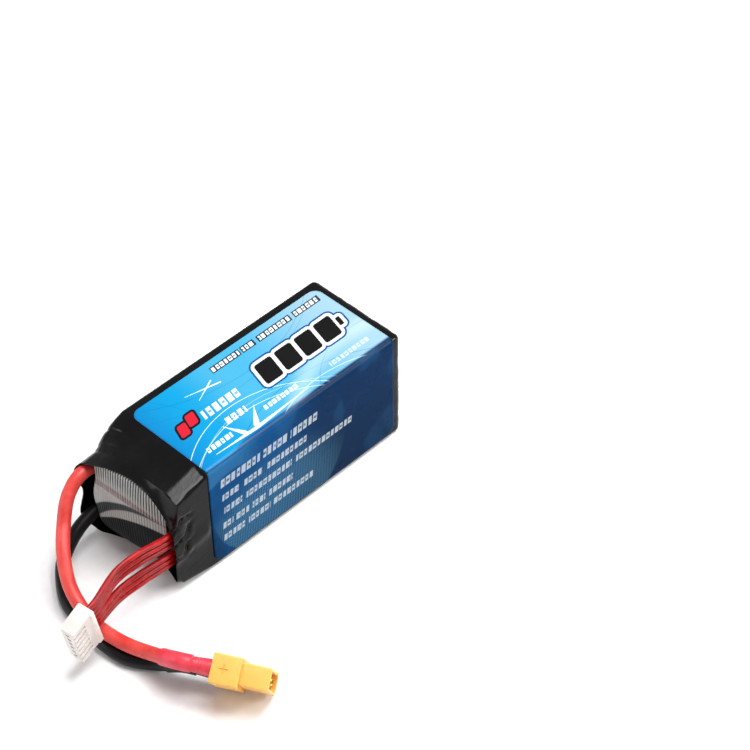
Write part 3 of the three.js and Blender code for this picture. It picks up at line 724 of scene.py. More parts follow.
def circuit_board():
    """Green solder mask over faint copper tracks, which run across and up the board."""
    skin = new_skin("circuit_board")
    x, _, z = parts(place_on(skin))
    tracks = worked("PINGPONG", z + worked("ROUND", x * 0.2) * 2.5, 1.5)
    cloud = mottle(place_on(skin), 4, 3)
    colour = mix(ramp(tracks, 0.5, 0.7), srgb(22, 78, 44), srgb(34, 108, 60))
    colour = mix(ramp(cloud, 0.4, 0.7, 0, 0.3), colour, srgb(16, 64, 38))
    return finished(skin, colour, 0.38, bump(tracks, 0.03, 0.4), Coat_Weight=0.4)


def pouch_foil():
    """Laminated foil of a pouch cell: satin, dented where the cell presses on it."""
    skin = new_skin("pouch_foil")
    dents = mottle(place_on(skin), 4.5, 3, 0.55)
    grain = mottle(place_on(skin), 0.3, 2)
    colour = mix(ramp(dents, 0.3, 0.7), srgb(168, 172, 176), srgb(206, 209, 212))
    rough = ramp(dents, 0.3, 0.7, 0.3, 0.42)
    normal = bump(grain, 0.02, 0.5, bump(dents, 0.4, 0.4))
    return finished(skin, colour, rough, normal, Metallic=0.7)


def stranded_copper():
    """Fine copper strands, twisted along the lead."""
    skin = new_skin("stranded_copper")
    u, v, _ = parts(uv_on(skin))
    twist = sine(u * 60 + v * (2 * math.pi * 14))
    tarnish = mottle(place_on(skin), 1.2, 3)
    colour = mix(ramp(tarnish, 0.35, 0.7), srgb(214, 138, 96), srgb(170, 98, 62))
    colour = mix(ramp(twist, 0.0, -0.9, 0, 0.6), colour, srgb(96, 50, 30))
    return finished(skin, colour, 0.34, bump(twist, 0.12, 0.8), Metallic=1.0)


SHRINK_FILM = shrink_film()
LABEL_PRINT_AND_PAINTED_LIGHT = label_print_and_painted_light()
FILAMENT_FILM = filament_film()
RED_SILICONE = silicone("red_silicone", srgb(202, 50, 46), srgb(220, 74, 66))
BLACK_SILICONE = silicone("black_silicone", srgb(9, 9, 11), srgb(18, 18, 21), 0.4, 0.6, 0.22)
RED_WIRE_SKIN = silicone("red_wire_skin", srgb(140, 10, 12), srgb(168, 20, 22), 0.24, 0.25, 0.2)
RED_SLEEVE = sleeve_film("red_sleeve", srgb(212, 54, 70), srgb(224, 68, 84))
BLACK_SLEEVE = sleeve_film("black_sleeve", srgb(9, 9, 10), srgb(17, 16, 18))
YELLOW_NYLON = nylon("yellow_nylon", srgb(238, 178, 84), srgb(246, 196, 108), 0.25)
WHITE_NYLON = nylon("white_nylon", srgb(216, 208, 203), srgb(240, 237, 232), 0.3)
GOLD = metal("gold", srgb(238, 190, 96), srgb(204, 150, 62), 0.24)
TIN = metal("tin", srgb(206, 208, 210), srgb(168, 170, 172), 0.3)
NICKEL = metal("tab_nickel", srgb(206, 203, 194), srgb(170, 166, 156), 0.32)
FOAM = foam()
PAPER = paper()
BOARD_GREEN = circuit_board()
POUCH_FOIL = pouch_foil()
COPPER = stranded_copper()


# ---------------------------------------------------------------- the wrap

def section(half_width, low, high, radius, ridge):
    """Points round a rounded rectangle in XZ, from the right end of the bottom edge, up the
    right side, along the top and back down the left. The ridge is the top right corner."""
    arcs = []
    for x, z, reach, start in (
            (half_width - radius, low + radius, radius, -90),
            (half_width - ridge, high - ridge, ridge, 0),
            (radius - half_width, high - radius, radius, 90),
            (radius - half_width, low + radius, radius, 180)):
        angles = np.radians(np.linspace(start, start + 90, RING["corner"] + 1))
        arcs.append(np.stack([x + reach * np.cos(angles), z + reach * np.sin(angles)], axis=1))
    points = []
    for arc, after, edge in zip(arcs, arcs[1:] + arcs[:1], ("side", "top", "side", "bottom")):
        shares = np.linspace(0, 1, RING[edge] + 1)[1:-1, None]
        points += [arc, arc[-1] + (after[0] - arc[-1]) * shares]
    return np.concatenate(points)


def arch_drop(station, x):
    """How far the top drops at x: evenly towards the left, late and steeply on the labelled side."""
    out = np.abs(x) / HALF_WIDTH
    lean = station["bevel"] * np.clip((x - BEVEL_START) / (HALF_WIDTH - BEVEL_START), 0, 1)
    return np.where(x < 0, station["left_sag"] * out ** 2, station["right_sag"] * out ** 3 + lean)


def station_ring(station, front, inset=0.0):
    """One ring of the wrap; front gives its Y from X and from the share of the ring's height."""
    low, high = station["bottom"] + inset, station["top"] - inset
    ring = section(HALF_WIDTH - inset, low, high, station["corner"], station["ridge"])
    x, z = ring[:, 0], ring[:, 1]
    middle = (low + high) / 2
    upper = np.maximum(0, (z - middle) / (high - middle))
    return np.stack([x, front(x, (z - low) / (high - low)), z - arch_drop(station, x) * upper], axis=1)


def lip_front(x, up):
    """Where the front lip is: forward beside the main leads, drawn back under them, and wavy
    down its left wall."""
    out = np.abs(x) / HALF_WIDTH
    lead = np.maximum(0, (2 - x) / (2 + HALF_WIDTH)) ** 1.6
    top = LIP["top"] - LIP["top_left"] * lead
    side = np.where(x < 0, LIP["bottom_left"] * out ** 1.3, LIP["bottom_right"] * out ** 2)
    bottom = LIP["bottom"] - side
    wave = 1.1 * smooth(-x, 13, 17) * np.cos(2 * math.pi * (up - 0.24) / 0.54)
    return bottom + (top - bottom) * up - wave


def neck_front(x, up):
    bottom = lip_front(x, np.zeros_like(up)) + LIP["neck"]
    return bottom + (NECK_FRONT - bottom) * up


def flat_front(y):
    return lambda x, up: np.full_like(x, y)


def front_between(first, second, share):
    return lambda x, up: first(x, up) + (second(x, up) - first(x, up)) * share


def station_between(first, second, share, **shares):
    """A section between two others; a key can have a share of its own."""
    return {key: first[key] + (second[key] - first[key]) * shares.get(key, share) for key in first}


def wrap_rings():
    """The wrap from its lip to its neck, up the slope to its shoulder, straight to the rear, and
    round and in over the end of the stack."""
    rings = []
    for share in np.linspace(0, 1, 16, endpoint=False):
        station = station_between(MOUTH, NECK, share ** 1.5)
        rings.append(station_ring(station, front_between(lip_front, neck_front, share)))
    for share in np.linspace(0, 1, 41):
        station = station_between(NECK, BODY, share, bevel=share ** 60, ridge=share ** 8)
        rings.append(station_ring(station, front_between(neck_front, flat_front(SHOULDER), share)))
    straight = np.linspace(SHOULDER, REAR - REAR_TURN, 71)[1:]
    turn = np.linspace(0, math.pi / 2, 11)[1:]
    places = [(y, 0) for y in straight]
    places += [(REAR - REAR_TURN * (1 - math.sin(a)), REAR_TURN * (1 - math.cos(a))) for a in turn]
    places += [(REAR - 0.02 * s, REAR_TURN + (REAR_REACH - REAR_TURN) * s / 12) for s in range(1, 13)]
    return np.array(rings + [station_ring(BODY, flat_front(y), inset) for y, inset in places])


def wrap_relief(points):
    """How far the film stands off its smooth shape: crinkles, gathers at the mouth, pleats."""
    x, y, z = np.moveaxis(points, -1, 0)
    front = smooth(y, SHOULDER + 1, NECK_FRONT)
    calm = 1 - 0.8 * smooth(x, 8, 12) * smooth(z, 30, 33)
    relief = 0.1 * front * calm * noise_at(points * np.array([1, 0.6, 1]), 3.4, 1)
    relief += 0.035 * front * calm * noise_at(points, 1.3, 2)
    # The film sinks between its shoulder and the leads, and two small folds cross it there.
    slope = np.clip((y - NECK_FRONT) / (SHOULDER - NECK_FRONT), 0, 1)
    left = smooth(-x, 5, 14) * smooth(z, 20, 27)
    relief -= 0.7 * left * np.sin(math.pi * slope)
    for place, height in ((-35.4, 0.26), (-39.6, 0.18)):
        relief += height * left * hump(y - 0.12 * (x + 17), place, 0.6)
    # The ridge above the label is pinched into a thin raised crease.
    neck_ridge = NECK["top"] - NECK["right_sag"] - NECK["bevel"]
    crease = smooth(x, HALF_WIDTH - 0.9, HALF_WIDTH - 0.2)
    crease *= hump(z, neck_ridge + (HEIGHT - neck_ridge) * slope - 0.4, 0.45)
    crease *= smooth(y, SHOULDER + 0.2, SHOULDER - 1.5) * smooth(y, NECK_FRONT + 1, NECK_FRONT + 4)
    relief += 0.22 * crease
    # Gathers run back and up from the mouth on the labelled side, beside the balance lead, and a
    # shallow hollow behind them reaches the label.
    side = smooth(x, 15.5, 17)
    gather = side * smooth(y, -35.4, -39.0) * smooth(z, 11, 15) * smooth(z, 31, 27)
    rise = z - 0.62 * (y - NECK_FRONT)
    folds = np.abs(np.sin(rise * 0.62 + 1.7 * noise_at(points, 4.5, 3)))
    relief += gather * (0.85 * (1 - folds) ** 2 + 0.26 * noise_at(points, 1.9, 4))
    relief -= 0.5 * side * smooth(y, SHOULDER + 0.5, -32.0) * hump(z - 0.25 * (y + 30), 17.2, 2.6)
    # Pleats round the rear fold, deepest at the corners.
    around = np.arctan2(z - HEIGHT / 2, x)
    corner = np.abs(np.sin(2 * around)) ** 3
    pleats = np.abs(np.sin(around * 17 + 2.2 * noise_at(points, 5, 5)))
    relief += smooth(y, REAR - 1.2, REAR - 0.1) * (0.1 + 0.35 * corner) * (1 - pleats) ** 2
    return relief + 0.12 * smooth(y, REAR - 6, REAR - 1) * noise_at(points, 2.6, 6)


def heat_shrink_wrap():
    rings = wrap_rings()
    points = rings - grid_normals(rings, closed=True) * wrap_relief(rings)[..., None]
    piece = sheet("heat_shrink_wrap_film", points, FILM, closed=True)
    dress(piece, SHRINK_FILM, "shrink_wrap", "pack", "heat_shrink_wrap")


# ---------------------------------------------------------------- the label

def label():
    """The printed sheet: over the top, round the long edge and down the side."""
    top = HALF_WIDTH - WRAP_CORNER - LABEL_LOW[0]
    turn = WRAP_CORNER * math.pi / 2
    total = top + turn + HEIGHT - WRAP_CORNER - LABEL_LOW[2]
    # Places across the sheet, from its edge on the top, closest together in its rounded corners.
    corner = LABEL_CORNER * (1 - np.cos(np.linspace(0, math.pi / 2, 10, endpoint=False)))
    flat = np.linspace(LABEL_CORNER, total - LABEL_CORNER, 150)
    across = np.concatenate([corner, flat, total - corner[::-1]])[:, None]
    angle = math.pi / 2 - np.clip((across - top) / WRAP_CORNER, 0, math.pi / 2)
    radius = WRAP_CORNER + LABEL_CLEARANCE + LABEL_FILM
    x = HALF_WIDTH - WRAP_CORNER + np.minimum(across - top, 0) + radius * np.cos(angle)
    z = HEIGHT - WRAP_CORNER - np.maximum(across - top - turn, 0) + radius * np.sin(angle)
    # What the rounded corners take off the sheet's length at either end.
    short = np.clip(LABEL_CORNER - np.minimum(across, total - across), 0, LABEL_CORNER)
    taken = np.minimum(LABEL_CORNER - np.sqrt(LABEL_CORNER ** 2 - short ** 2), LABEL_CORNER - 0.02)
    length = LABEL_HIGH[1] - LABEL_LOW[1]
    along = taken + (length - 2 * taken) * np.linspace(0, 1, 111)
    points = np.stack(np.broadcast_arrays(x, LABEL_LOW[1] + along, z), axis=2)
    points = points + grid_normals(points) * 0.03 * noise_at(points, 6, 8)[..., None]
    piece = sheet("label_sheet", points, LABEL_FILM)
    lay_uv(piece, np.stack(np.broadcast_arrays(across, along), axis=2) / LABEL_UV_SPAN)
    dress(piece, LABEL_PRINT_AND_PAINTED_LIGHT, "label_film", "pack", "label")


# ---------------------------------------------------------------- the tape over the lead end

def wrap_top(x, y):
    """The height of the wrap's top between its mouth and its shoulder."""
    levels = [station["top"] - float(arch_drop(station, x)) for station in (MOUTH, NECK, BODY)]
    return np.interp(y, (LIP["top"], NECK_FRONT, SHOULDER), levels)


def filament_tape():
    """A ribbed sheet that bulges over the lead end, further forward beside the main leads, and
    goes back under the wrap at the top and at the bottom."""
    left, clearance = TAPE["left"], TAPE["clearance"]
    width = TAPE["right"] - left
    back = node_box("filament_tape")[1][1]
    bottom = MOUTH["bottom"] + clearance
    points = []
    for share in np.linspace(0, 1, round(width / RIB_PITCH) * 8 + 1):
        x = left + width * share
        edge = TAPE["left_edge"] + (TAPE["right_edge"] - TAPE["left_edge"]) * share
        edge -= 0.09 * abs(math.sin(math.pi * width * share / RIB_PITCH))
        top = MOUTH["top"] - float(arch_drop(MOUTH, x)) - clearance
        points.append([(x, back, NECK["bottom"] + clearance)])
        for up in np.linspace(0, 1, 61):
            arch = math.sin(math.pi * up)
            bulge = TAPE["bulge"] * (1 - (2 * share - 1) ** 2) * arch ** 0.8
            tuck = TAPE["tuck"] * max(0, 1 - up / 0.25) ** 2
            flank = TAPE["flank"] * (1 - share) ** 5 * arch ** 4
            points[-1].append((x - flank, edge - bulge + tuck, bottom + (top - bottom) * up))
        points[-1] += [(x, y, wrap_top(x, y) - clearance) for y in (TAPE["fold"], back)]
    points = np.array(points)
    front = points[:, 1:-2]
    front[..., 1] += 0.1 * noise_at(front, 5, 9)
    piece = sheet("filament_tape_sheet", points, TAPE["film"])
    dress(piece, FILAMENT_FILM, "filament_tape", "pack", "filament_tape")


# ---------------------------------------------------------------- leads and wires

def apart(first, second):
    return float(np.linalg.norm(first - second))


def nearest(path, point):
    return int(np.argmin(np.linalg.norm(path - point, axis=1)))


def reach_along(path):
    """How far along a path each of its points is."""
    return np.concatenate([[0], np.cumsum(np.linalg.norm(np.diff(path, axis=0), axis=1))])


def cord_centres(node):
    """The centres of the rings of a CAD cord, from one end to the other, in millimetres."""
    work = bmesh.new()
    work.from_mesh(frame["nodes"][node].data)
    bmesh.ops.remove_doubles(work, verts=work.verts, dist=1e-6)
    # The rim of one end, then ring after ring from there.
    rim = {edge for edge in work.edges if edge.calc_face_angle(0) > math.radians(62)}
    start = next(edge for edge in work.edges if edge in rim).verts[0]
    ring, growing = {start}, [start]
    while growing:
        vertex = growing.pop()
        found = {edge.other_vert(vertex) for edge in vertex.link_edges if edge in rim} - ring
        ring |= found
        growing += found
    seen, centres = set(ring), []
    while ring:
        centres.append(np.mean([vertex.co for vertex in ring], axis=0) / MM)
        ring = {edge.other_vert(vertex) for vertex in ring for edge in vertex.link_edges} - seen
        seen |= ring
    work.free()
    return np.array(centres)


def join_centres(nodes):
    """The centres of several cords in a row, each turned to follow the one before."""
    runs = [cord_centres(node) for node in nodes]
    target = runs[1].mean(axis=0)
    if apart(runs[0][0], target) < apart(runs[0][-1], target):
        runs[0] = runs[0][::-1]
    for number in range(1, len(runs)):
        end = runs[number - 1][-1]
        if apart(runs[number][0], end) > apart(runs[number][-1], end):
            runs[number] = runs[number][::-1]
    return runs


def smooth_path(points, spacing):
    """Points along a smooth curve through the given ones, and their even spacing, which is as
    near to the one asked for as the curve's length allows."""
    padded = np.vstack([2 * points[0] - points[1], points, 2 * points[-1] - points[-2]])
    dense = []
    for i in range(len(points) - 1):
        p0, p1, p2, p3 = padded[i:i + 4]
        for t in np.linspace(0, 1, 12, endpoint=False):
            dense.append(0.5 * (2 * p1 + (p2 - p0) * t + (2 * p0 - 5 * p1 + 4 * p2 - p3) * t ** 2
                                + (3 * p1 - p0 - 3 * p2 + p3) * t ** 3))
    dense = np.array(dense + [points[-1]])
    reach = reach_along(dense)
    steps = max(2, round(reach[-1] / spacing))
    marks = np.linspace(0, reach[-1], steps + 1)
    path = np.stack([np.interp(marks, reach, dense[:, axis]) for axis in range(3)], axis=1)
    return path, reach[-1] / steps


def tube_rings(path, radius, sides):
    """Rings of points round a path, without twist. Radius is a number or one per point."""
    tangents = np.gradient(path, axis=0)
    tangents /= np.linalg.norm(tangents, axis=1, keepdims=True)
    side = np.cross(tangents[0], [0.0, 0.0, 1.0])
    angles = np.linspace(0, 2 * math.pi, sides, endpoint=False)[:, None]
    rings = []
    for point, tangent, reach in zip(path, tangents, np.broadcast_to(radius, len(path))):
        side = side - tangent * side.dot(tangent)
        side /= np.linalg.norm(side)
        rings.append(point + reach * (np.cos(angles) * side + np.sin(angles) * np.cross(tangent, side)))
    return np.array(rings)


def tube(name, rings):
    """A closed tube from rings of points, with its lengthways place and its angle as UV."""
    piece = solid(name, rings)
    reach = reach_along(rings.mean(axis=1))[:, None] / 10
    angle = np.arange(rings.shape[1]) / rings.shape[1]
    lay_uv(piece, np.stack(np.broadcast_arrays(reach, angle), axis=2))
    return piece


def jackets(name, skin, slot, path, rings, cuts, bends, nodes):
    """A cord in pieces that meet at the cuts, one piece for each joint in the bends."""
    for number, (joint, half) in enumerate(bends.items()):
        stretch = slice(cuts[number], cuts[number + 1] + 1)
        piece = tube(f"{name}_jacket_{number + 1}", rings[stretch])
        dress(piece, skin, slot, None, *nodes[number])
        run = path[stretch]
        middle = nearest(run, joint_place(joint))
        reach = max(1, round(half / apart(run[middle], run[middle - 1])))
        start, end = run[max(0, middle - reach)], run[min(len(run) - 1, middle + reach)]
        tuple(start * MM)
        tuple(end * MM)
        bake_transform(piece)


def main_lead(colour, skin, sleeve_skin):
    """A main lead: its jacket in four pieces that meet halfway along each rigid stretch, the
    strands at either end, and the sleeve at the plug."""
    board, plug = f"{colour}_lead_strands_board_end", f"{colour}_lead_strands_plug_end"
    near, far, final = [f"{colour}_lead_{stretch}" for stretch in ("near", "far", "last")]
    runs = join_centres([board, near, far, final, plug])
    path, spacing = smooth_path(np.vstack(runs), 0.5)
    first = round(LEAD_STRIP / spacing)
    last = len(path) - 1 - round(CUP_LENGTH / spacing)
    wobble = 1 + 0.006 * noise_at(path, 5)
    cuts = [first] + [nearest(path, run[len(run) // 2]) for run in runs[1:-1]] + [last]
    stood_for = [[f"{colour}_lead_board_end"], [near], [far], [final, f"{colour}_lead_plug_end"]]
    jackets(f"{colour}_lead", skin, f"{colour}_silicone", path, tube_rings(path, LEAD_RADIUS * wobble, 32),
            cuts, MAIN_BENDS, stood_for)
    bare = round(1 / spacing)
    for name, run, body, node in (("board", path[:first + bare], "pack", board),
                                  ("plug", path[last - bare:], "power_plug", plug)):
        piece = tube(f"{colour}_strands_{name}", tube_rings(run, STRANDS_RADIUS, 24))
        dress(piece, COPPER, "copper", body, node)
    sleeve(colour, sleeve_skin, path[nearest(path, runs[-1][0]) + round(SLEEVE["start"] / spacing):])


def sleeve(colour, skin, path):
    """The shrink sleeve from the lead to the plug: it grips the lead, is wide over the solder
    cup's tail, steps down at two thirds and wrinkles where it narrows, and enters the housing."""
    stretch, _ = smooth_path(path, 0.12)
    ahead = (stretch[-1] - stretch[-2]) / apart(stretch[-1], stretch[-2])
    stretch = np.vstack([stretch, stretch[-1] + ahead * SLEEVE["overlap"]])
    share = np.linspace(0, 1, len(stretch))
    narrow = smooth(share, 0.66, 0.675)
    radius = SLEEVE["radius"] + 0.06 * smooth(share, 0.1, 0.5) - 0.3 * narrow + 0.02 * noise_at(stretch, 2.2)
    radius += 0.05 * hump(share, 0.655, 0.01) - 0.1 * hump(share, 0.68, 0.012)
    radius += 0.22 * smooth(share, 0.7, 1.0) + 0.03 * narrow * np.cos(share * 110) * smooth(share, 0.98, 0.8)
    outer, inner = tube_rings(stretch, radius, 40), tube_rings(stretch, radius - SLEEVE["wall"], 40)
    points = np.concatenate([outer, inner[::-1]])
    rows, sides = points.shape[:2]
    count = rows * sides
    # One row more joins the last ring to the first.
    faces = [tuple(corner % count for corner in face) for face in grid_faces(rows + 1, sides, True)]
    piece = mesh_object(f"{colour}_sleeve_tube", points, faces, 50)
    dress(piece, skin, f"{colour}_sleeve", "power_plug", f"{colour}_lead_sleeve")


def balance_wire(number):
    """A balance wire in two pieces, which meet halfway between its two bends."""
    nodes = [f"balance_wire_{number}", f"balance_wire_{number}_plug_end"]
    path, _ = smooth_path(np.vstack(join_centres(nodes)), 0.35)
    half = nearest(path, sum(joint_place(joint) for joint in WIRE_BENDS) / 2)
    jackets(f"balance_wire_{number}", RED_WIRE_SKIN, "red_silicone", path, tube_rings(path, WIRE_RADIUS, 20),
            [0, half, len(path) - 1], WIRE_BENDS, [[node] for node in nodes])


# ---------------------------------------------------------------- plugs

def plug_frame(mount_name, low_node, high_node, size):
    """A plug's own frame: its origin at its rear, and its axes as rows, which are the way it
    mates, the way along its contacts and the way across them."""
    point, mating = mount(mount_name)
    along = node_box(high_node).mean(axis=0) - node_box(low_node).mean(axis=0)
    along -= mating * along.dot(mating)
    along /= np.linalg.norm(along)
    across = np.cross(mating, along)
    return point - mating * size["length"] - across * size["face_offset"], np.array([mating, along, across])


def to_frame(points, plug):
    """Points of a plug's own frame in the pack's frame."""
    origin, axes = plug
    return np.asarray(points, float) @ axes + origin


def rounded(x, corners, fillet, steps=5):
    """A ring at x round a convex outline, from its (y, z) corners in turn, each of them rounded."""
    corners = [complex(*corner) for corner in corners]
    ring = []
    for before, here, after in zip(corners[-1:] + corners[:-1], corners, corners[1:] + corners[:1]):
        coming, going = (here - before) / abs(here - before), (after - here) / abs(after - here)
        turn = cmath.phase(going / coming)
        centre = here + (going - coming) / abs(going - coming) * fillet / math.cos(turn / 2)
        for step in range(steps + 1):
            place = centre - 1j * coming * cmath.exp(1j * turn * step / steps) * fillet
            ring.append((x, place.real, place.imag))
    return ring


def keyed_ring(x, width, depth, chamfer, fillet):
    """The keyed outline at x: a rectangle whose two corners on the negative side are cut off."""
    half, deep = width / 2, depth / 2
    return rounded(x, [(half, -deep), (half, deep), (chamfer - half, deep), (-half, deep - chamfer),
                       (-half, chamfer - deep), (chamfer - half, -deep)], fillet)


def bevelled_edge(x, inward, width, depth, chamfer, fillet, bevel):
    """Rings that round an outline's edge at x. Inward is 1 if the solid is on the +X side."""
    rings = []
    for angle in np.linspace(0, math.pi / 2, 5)[::inward]:
        off = bevel * (1 - math.sin(angle))
        outline = (width - 2 * off, depth - 2 * off, chamfer, max(fillet - off, 0.05))
        rings.append(keyed_ring(x + inward * bevel * (1 - math.cos(angle)), *outline))
    return rings


def block(name, low, high, plug):
    """A box between two corners of a plug's own frame, to cut with."""
    rings = [[(x, low[1], low[2]), (x, high[1], low[2]), (x, high[1], high[2]), (x, low[1], high[2])]
             for x in (low[0], high[0])]
    return solid(name, to_frame(rings, plug))


def turned(name, profile, y, plug, sides):
    """A turned piece about an axis along X at y, from a profile of (radius, x)."""
    angles = np.linspace(0, 2 * math.pi, sides, endpoint=False)
    rings = [[(x, y + radius * math.cos(a), radius * math.sin(a)) for a in angles] for radius, x in profile]
    return solid(name, to_frame(rings, plug))


def power_plug_housing(plug):
    """The yellow housing: a rear block, a step, a slimmer nose and the pocket in its front."""
    step, front = PLUG["block"], PLUG["length"]
    rear = (PLUG["width"], PLUG["depth"], PLUG["chamfer"], PLUG["fillet"])
    nose = (PLUG["nose_width"], PLUG["nose_depth"], PLUG["chamfer"] * 0.8, PLUG["fillet"])
    pocket = (POCKET["width"], POCKET["depth"], 0.9, 0.5)

    def grown(x, outline, by=0.0):
        return keyed_ring(x, outline[0] + by, outline[1] + by, *outline[2:])

    rings = bevelled_edge(0, 1, *rear, 0.3) + bevelled_edge(step, -1, *rear, 0.25)
    rings += [grown(step, nose, -0.4), grown(step + 0.3, nose, -0.4), grown(step + 0.45, nose)]
    rings += bevelled_edge(front, -1, *nose, 0.3)
    rings += [grown(front, pocket, 0.3), grown(front - 0.15, pocket)]
    rings += [grown(front - POCKET["length"] + 0.1, pocket), grown(front - POCKET["length"], pocket, -0.2)]
    piece = solid("power_plug_shell", to_frame(rings, plug), 30)
    cut(piece, polarity_marks(plug) + contact_holes(plug))
    piece.data.shade_smooth()
    piece.data.set_sharp_from_angle(angle=math.radians(28))
    dress(piece, YELLOW_NYLON, "yellow_nylon", "power_plug", "power_plug_housing")


def polarity_marks(plug):
    """Shallow grooves on the block's two narrow faces: a plus on one, a minus on the other."""
    middle, wall = PLUG["block"] / 2 - 0.6, PLUG["width"] / 2
    arm, half, deep = MARK["arm"], MARK["half"], MARK["deep"]
    return [block("plus_level", (middle - arm, wall - deep, -half), (middle + arm, wall + 1, half), plug),
            block("plus_upright", (middle - half, wall - deep, -arm), (middle + half, wall + 1, arm), plug),
            block("minus", (middle - arm, -wall - 1, -half), (middle + arm, deep - wall, half), plug)]


def contact_place(side):
    """Where a contact is across the plug; side is 1 for the positive one and -1 for the other."""
    centres = [node_box(f"power_plug_{pole}_socket").mean(axis=0) for pole in ("positive", "negative")]
    return apart(*centres) / 2 * side


def contact_holes(plug):
    radius = CONTACT["radius"] + CONTACT["clearance"]
    profile = [(radius, -1), (radius, PLUG["length"] + 1)]
    return [turned(f"hole_{side}", profile, contact_place(side), plug, 40) for side in (-1, 1)]


def socket_contact(side, plug):
    """A gold-plated contact: a solder cup at the rear and a split socket at the front."""
    radius, bore = CONTACT["radius"], CONTACT["bore"]
    front = PLUG["length"] - 1
    profile = [(bore, -0.6), (bore, -3.85), (bore + 0.15, -4), (radius - 0.15, -4), (radius, -3.85),
               (radius, -1.2), (radius - 0.2, -1.0), (radius - 0.2, -0.7), (radius, -0.5),
               (radius, front - 0.3), (radius - 0.25, front), (bore + 0.1, front), (bore, front - 0.2),
               (bore, front - CONTACT["hole"])]
    pole = "positive" if side > 0 else "negative"
    piece = turned(f"{pole}_contact", profile, contact_place(side), plug, 48)
    dress(piece, GOLD, "gold", "power_plug", f"power_plug_{pole}_socket")


def balance_plug_housing(plug):
    """The white housing: cavities for the terminals, comb slots at its mouth, a thicker rear rim."""
    half, deep, length, bevel = COMB["width"] / 2, COMB["depth"] / 2, COMB["length"], COMB["bevel"]

    def ring(x, top, off=0.0):
        wide, low, high = half - off, off - deep, top - off
        return rounded(x, [(wide, low), (wide, high), (-wide, high), (-wide, low)], 0.3, 4)

    rim = COMB_FLANGE["depth"] - deep
    rings = [ring(0, rim, bevel), ring(0.1, rim, 0.09), ring(bevel, rim), ring(COMB_FLANGE["length"], rim),
             ring(COMB_FLANGE["length"] + 0.5, deep), ring(length - bevel, deep),
             ring(length - 0.1, deep, 0.09), ring(length, deep, bevel)]
    piece = solid("balance_plug_shell", to_frame(rings, plug), 30)
    hole, slot, pin = COMB["cavity"] / 2, COMB_SLOT["width"] / 2, COMB_PIN["width"] / 2
    tools = []
    for pole in range(COMB["poles"]):
        y = (pole - (COMB["poles"] - 1) / 2) * COMB["pitch"]
        for name, start, end, wide, low, high in (
                ("cavity", -1, length - COMB_PIN["wall"], hole, -hole, hole),
                ("pin", length - 2, length + 1, pin, -pin, pin),
                ("slot", length - COMB_SLOT["length"], length + 1, slot, COMB_SLOT["floor"], COMB["depth"])):
            tools.append(block(f"{name}_{pole}", (start, y - wide, low), (end, y + wide, high), plug))
    cut(piece, tools)
    round_edges(piece, 0.07)
    dress(piece, WHITE_NYLON, "white_nylon", "balance_plug", "balance_plug_housing")


# ---------------------------------------------------------------- CAD pieces that keep their shape

def inner_pieces():
    """Paints the CAD nodes that already have their right shape, and softens their edges."""
    gaps = range(1, 5)
    for material, slot, bevel, nodes in (
            (POUCH_FOIL, "pouch_foil", 0.15, [f"cell_{cell}" for cell in range(1, 6)]),
            (FOAM, "foam", 0.08, [f"cell_pad_{gap}" for gap in gaps]),
            (FOAM, "foam", 0.3, ["rear_pad"]),
            (NICKEL, "tab_nickel", 0.05, [f"tab_weld_{gap}_{gap + 1}" for gap in gaps]),
            (NICKEL, "tab_nickel", 0.05, ["pack_negative_tab", "pack_positive_tab"]),
            (BOARD_GREEN, "circuit_board", 0.12, ["balance_board"]),
            (PAPER, "insulation_paper", 0.05, ["front_insulator"]),
            (TIN, "tin", 0.06, [f"balance_terminal_{pole}" for pole in range(1, COMB["poles"] + 1)])):
        for node in nodes:
            piece = frame["nodes"][node]
            piece.modifiers.new("weld", "WELD").merge_threshold = 1e-6
            round_edges(piece, bevel)
            dress(piece, material, slot)


# ---------------------------------------------------------------- floor, light and camera

def floor():
    reach, drop = 2000, -0.05
    corners = [(-reach, -reach, drop), (reach, -reach, drop), (reach, reach, drop), (-reach, reach, drop)]
    piece = mesh_object("floor", corners, [(0, 1, 2, 3)], closed=False)
    skin = new_skin("floor")
    grain = mottle(place_on(skin), 3, 3)
    colour = mix(ramp(grain, 0.3, 0.7), (0.86, 0.86, 0.87, 1), (0.9, 0.9, 0.9, 1))
    piece.data.materials.append(finished(skin, colour, 0.55, Specular_IOR_Level=0.2))


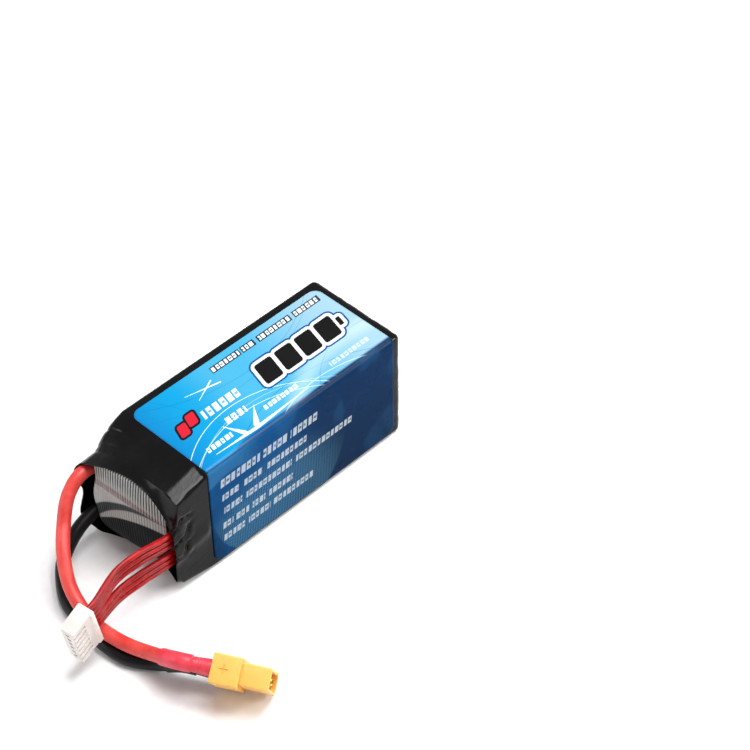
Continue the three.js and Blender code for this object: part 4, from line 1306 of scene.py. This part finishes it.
def lighting():
    """A pale room and three square softboxes; places and sizes are in millimetres."""
    world = bpy.data.worlds.new("studio")
    world.use_nodes = True
    background = world.node_tree.nodes["Background"]
    background.inputs["Color"].default_value = (1, 1, 1, 1)
    background.inputs["Strength"].default_value = 0.42
    bpy.context.scene.world = world
    for name, place, target, size, power in (
            ("overhead", (90, 95, 640), (0, -10, 0), 400, 5.2),
            ("right", (430, 330, 330), (10, -20, 15), 240, 2.0),
            ("front_left", (-380, -480, 260), (0, -40, 10), 300, 0.8)):
        light = bpy.data.lights.new(name, "AREA")
        light.shape = "SQUARE"
        light.size = size * MM
        light.energy = power
        lamp = bpy.data.objects.new(name, light)
        lamp.location = Vector(place) * MM
        lamp.rotation_euler = (Vector(target) - Vector(place)).to_track_quat("-Z", "Y").to_euler()
        bpy.context.scene.collection.objects.link(lamp)


def camera():
    """A long lens that looks down at the lead end and the labelled side."""
    data = bpy.data.cameras.new("camera")
    data.sensor_width = 36
    data.lens = 110.4
    data.clip_start, data.clip_end = 0.01, 20
    lens = bpy.data.objects.new("camera", data)
    # It turns about a place above the frame's origin, then moves aside, up and back on its own axes.
    azimuth, elevation, roll = math.radians(44.9), math.radians(44.34), math.radians(-0.78)
    turn = Matrix.Rotation(azimuth, 4, "Z") @ Matrix.Rotation(math.pi / 2 - elevation, 4, "X")
    turn = turn @ Matrix.Rotation(roll, 4, "Z")
    aside, above, back = 36.17, 15.56, 651.25
    centre = Matrix.Translation(Vector((0, 0, 20)) * MM)
    lens.matrix_world = centre @ turn @ Matrix.Translation(Vector((aside, above, back)) * MM)
    bpy.context.scene.collection.objects.link(lens)
    bpy.context.scene.camera = lens
    bpy.context.scene.view_settings.view_transform = "Standard"


# ---------------------------------------------------------------- assembly

heat_shrink_wrap()
label()
filament_tape()
main_lead("red", RED_SILICONE, RED_SLEEVE)
main_lead("black", BLACK_SILICONE, BLACK_SLEEVE)
for wire in range(1, COMB["poles"] + 1):
    balance_wire(wire)
POWER_FRAME = plug_frame("power_plug_mouth", "power_plug_negative_socket", "power_plug_positive_socket", PLUG)
power_plug_housing(POWER_FRAME)
for sign in (-1, 1):
    socket_contact(sign, POWER_FRAME)
balance_plug_housing(plug_frame("balance_plug_mouth", "balance_terminal_1", "balance_terminal_6", COMB))
inner_pieces()
floor()
lighting()
camera()
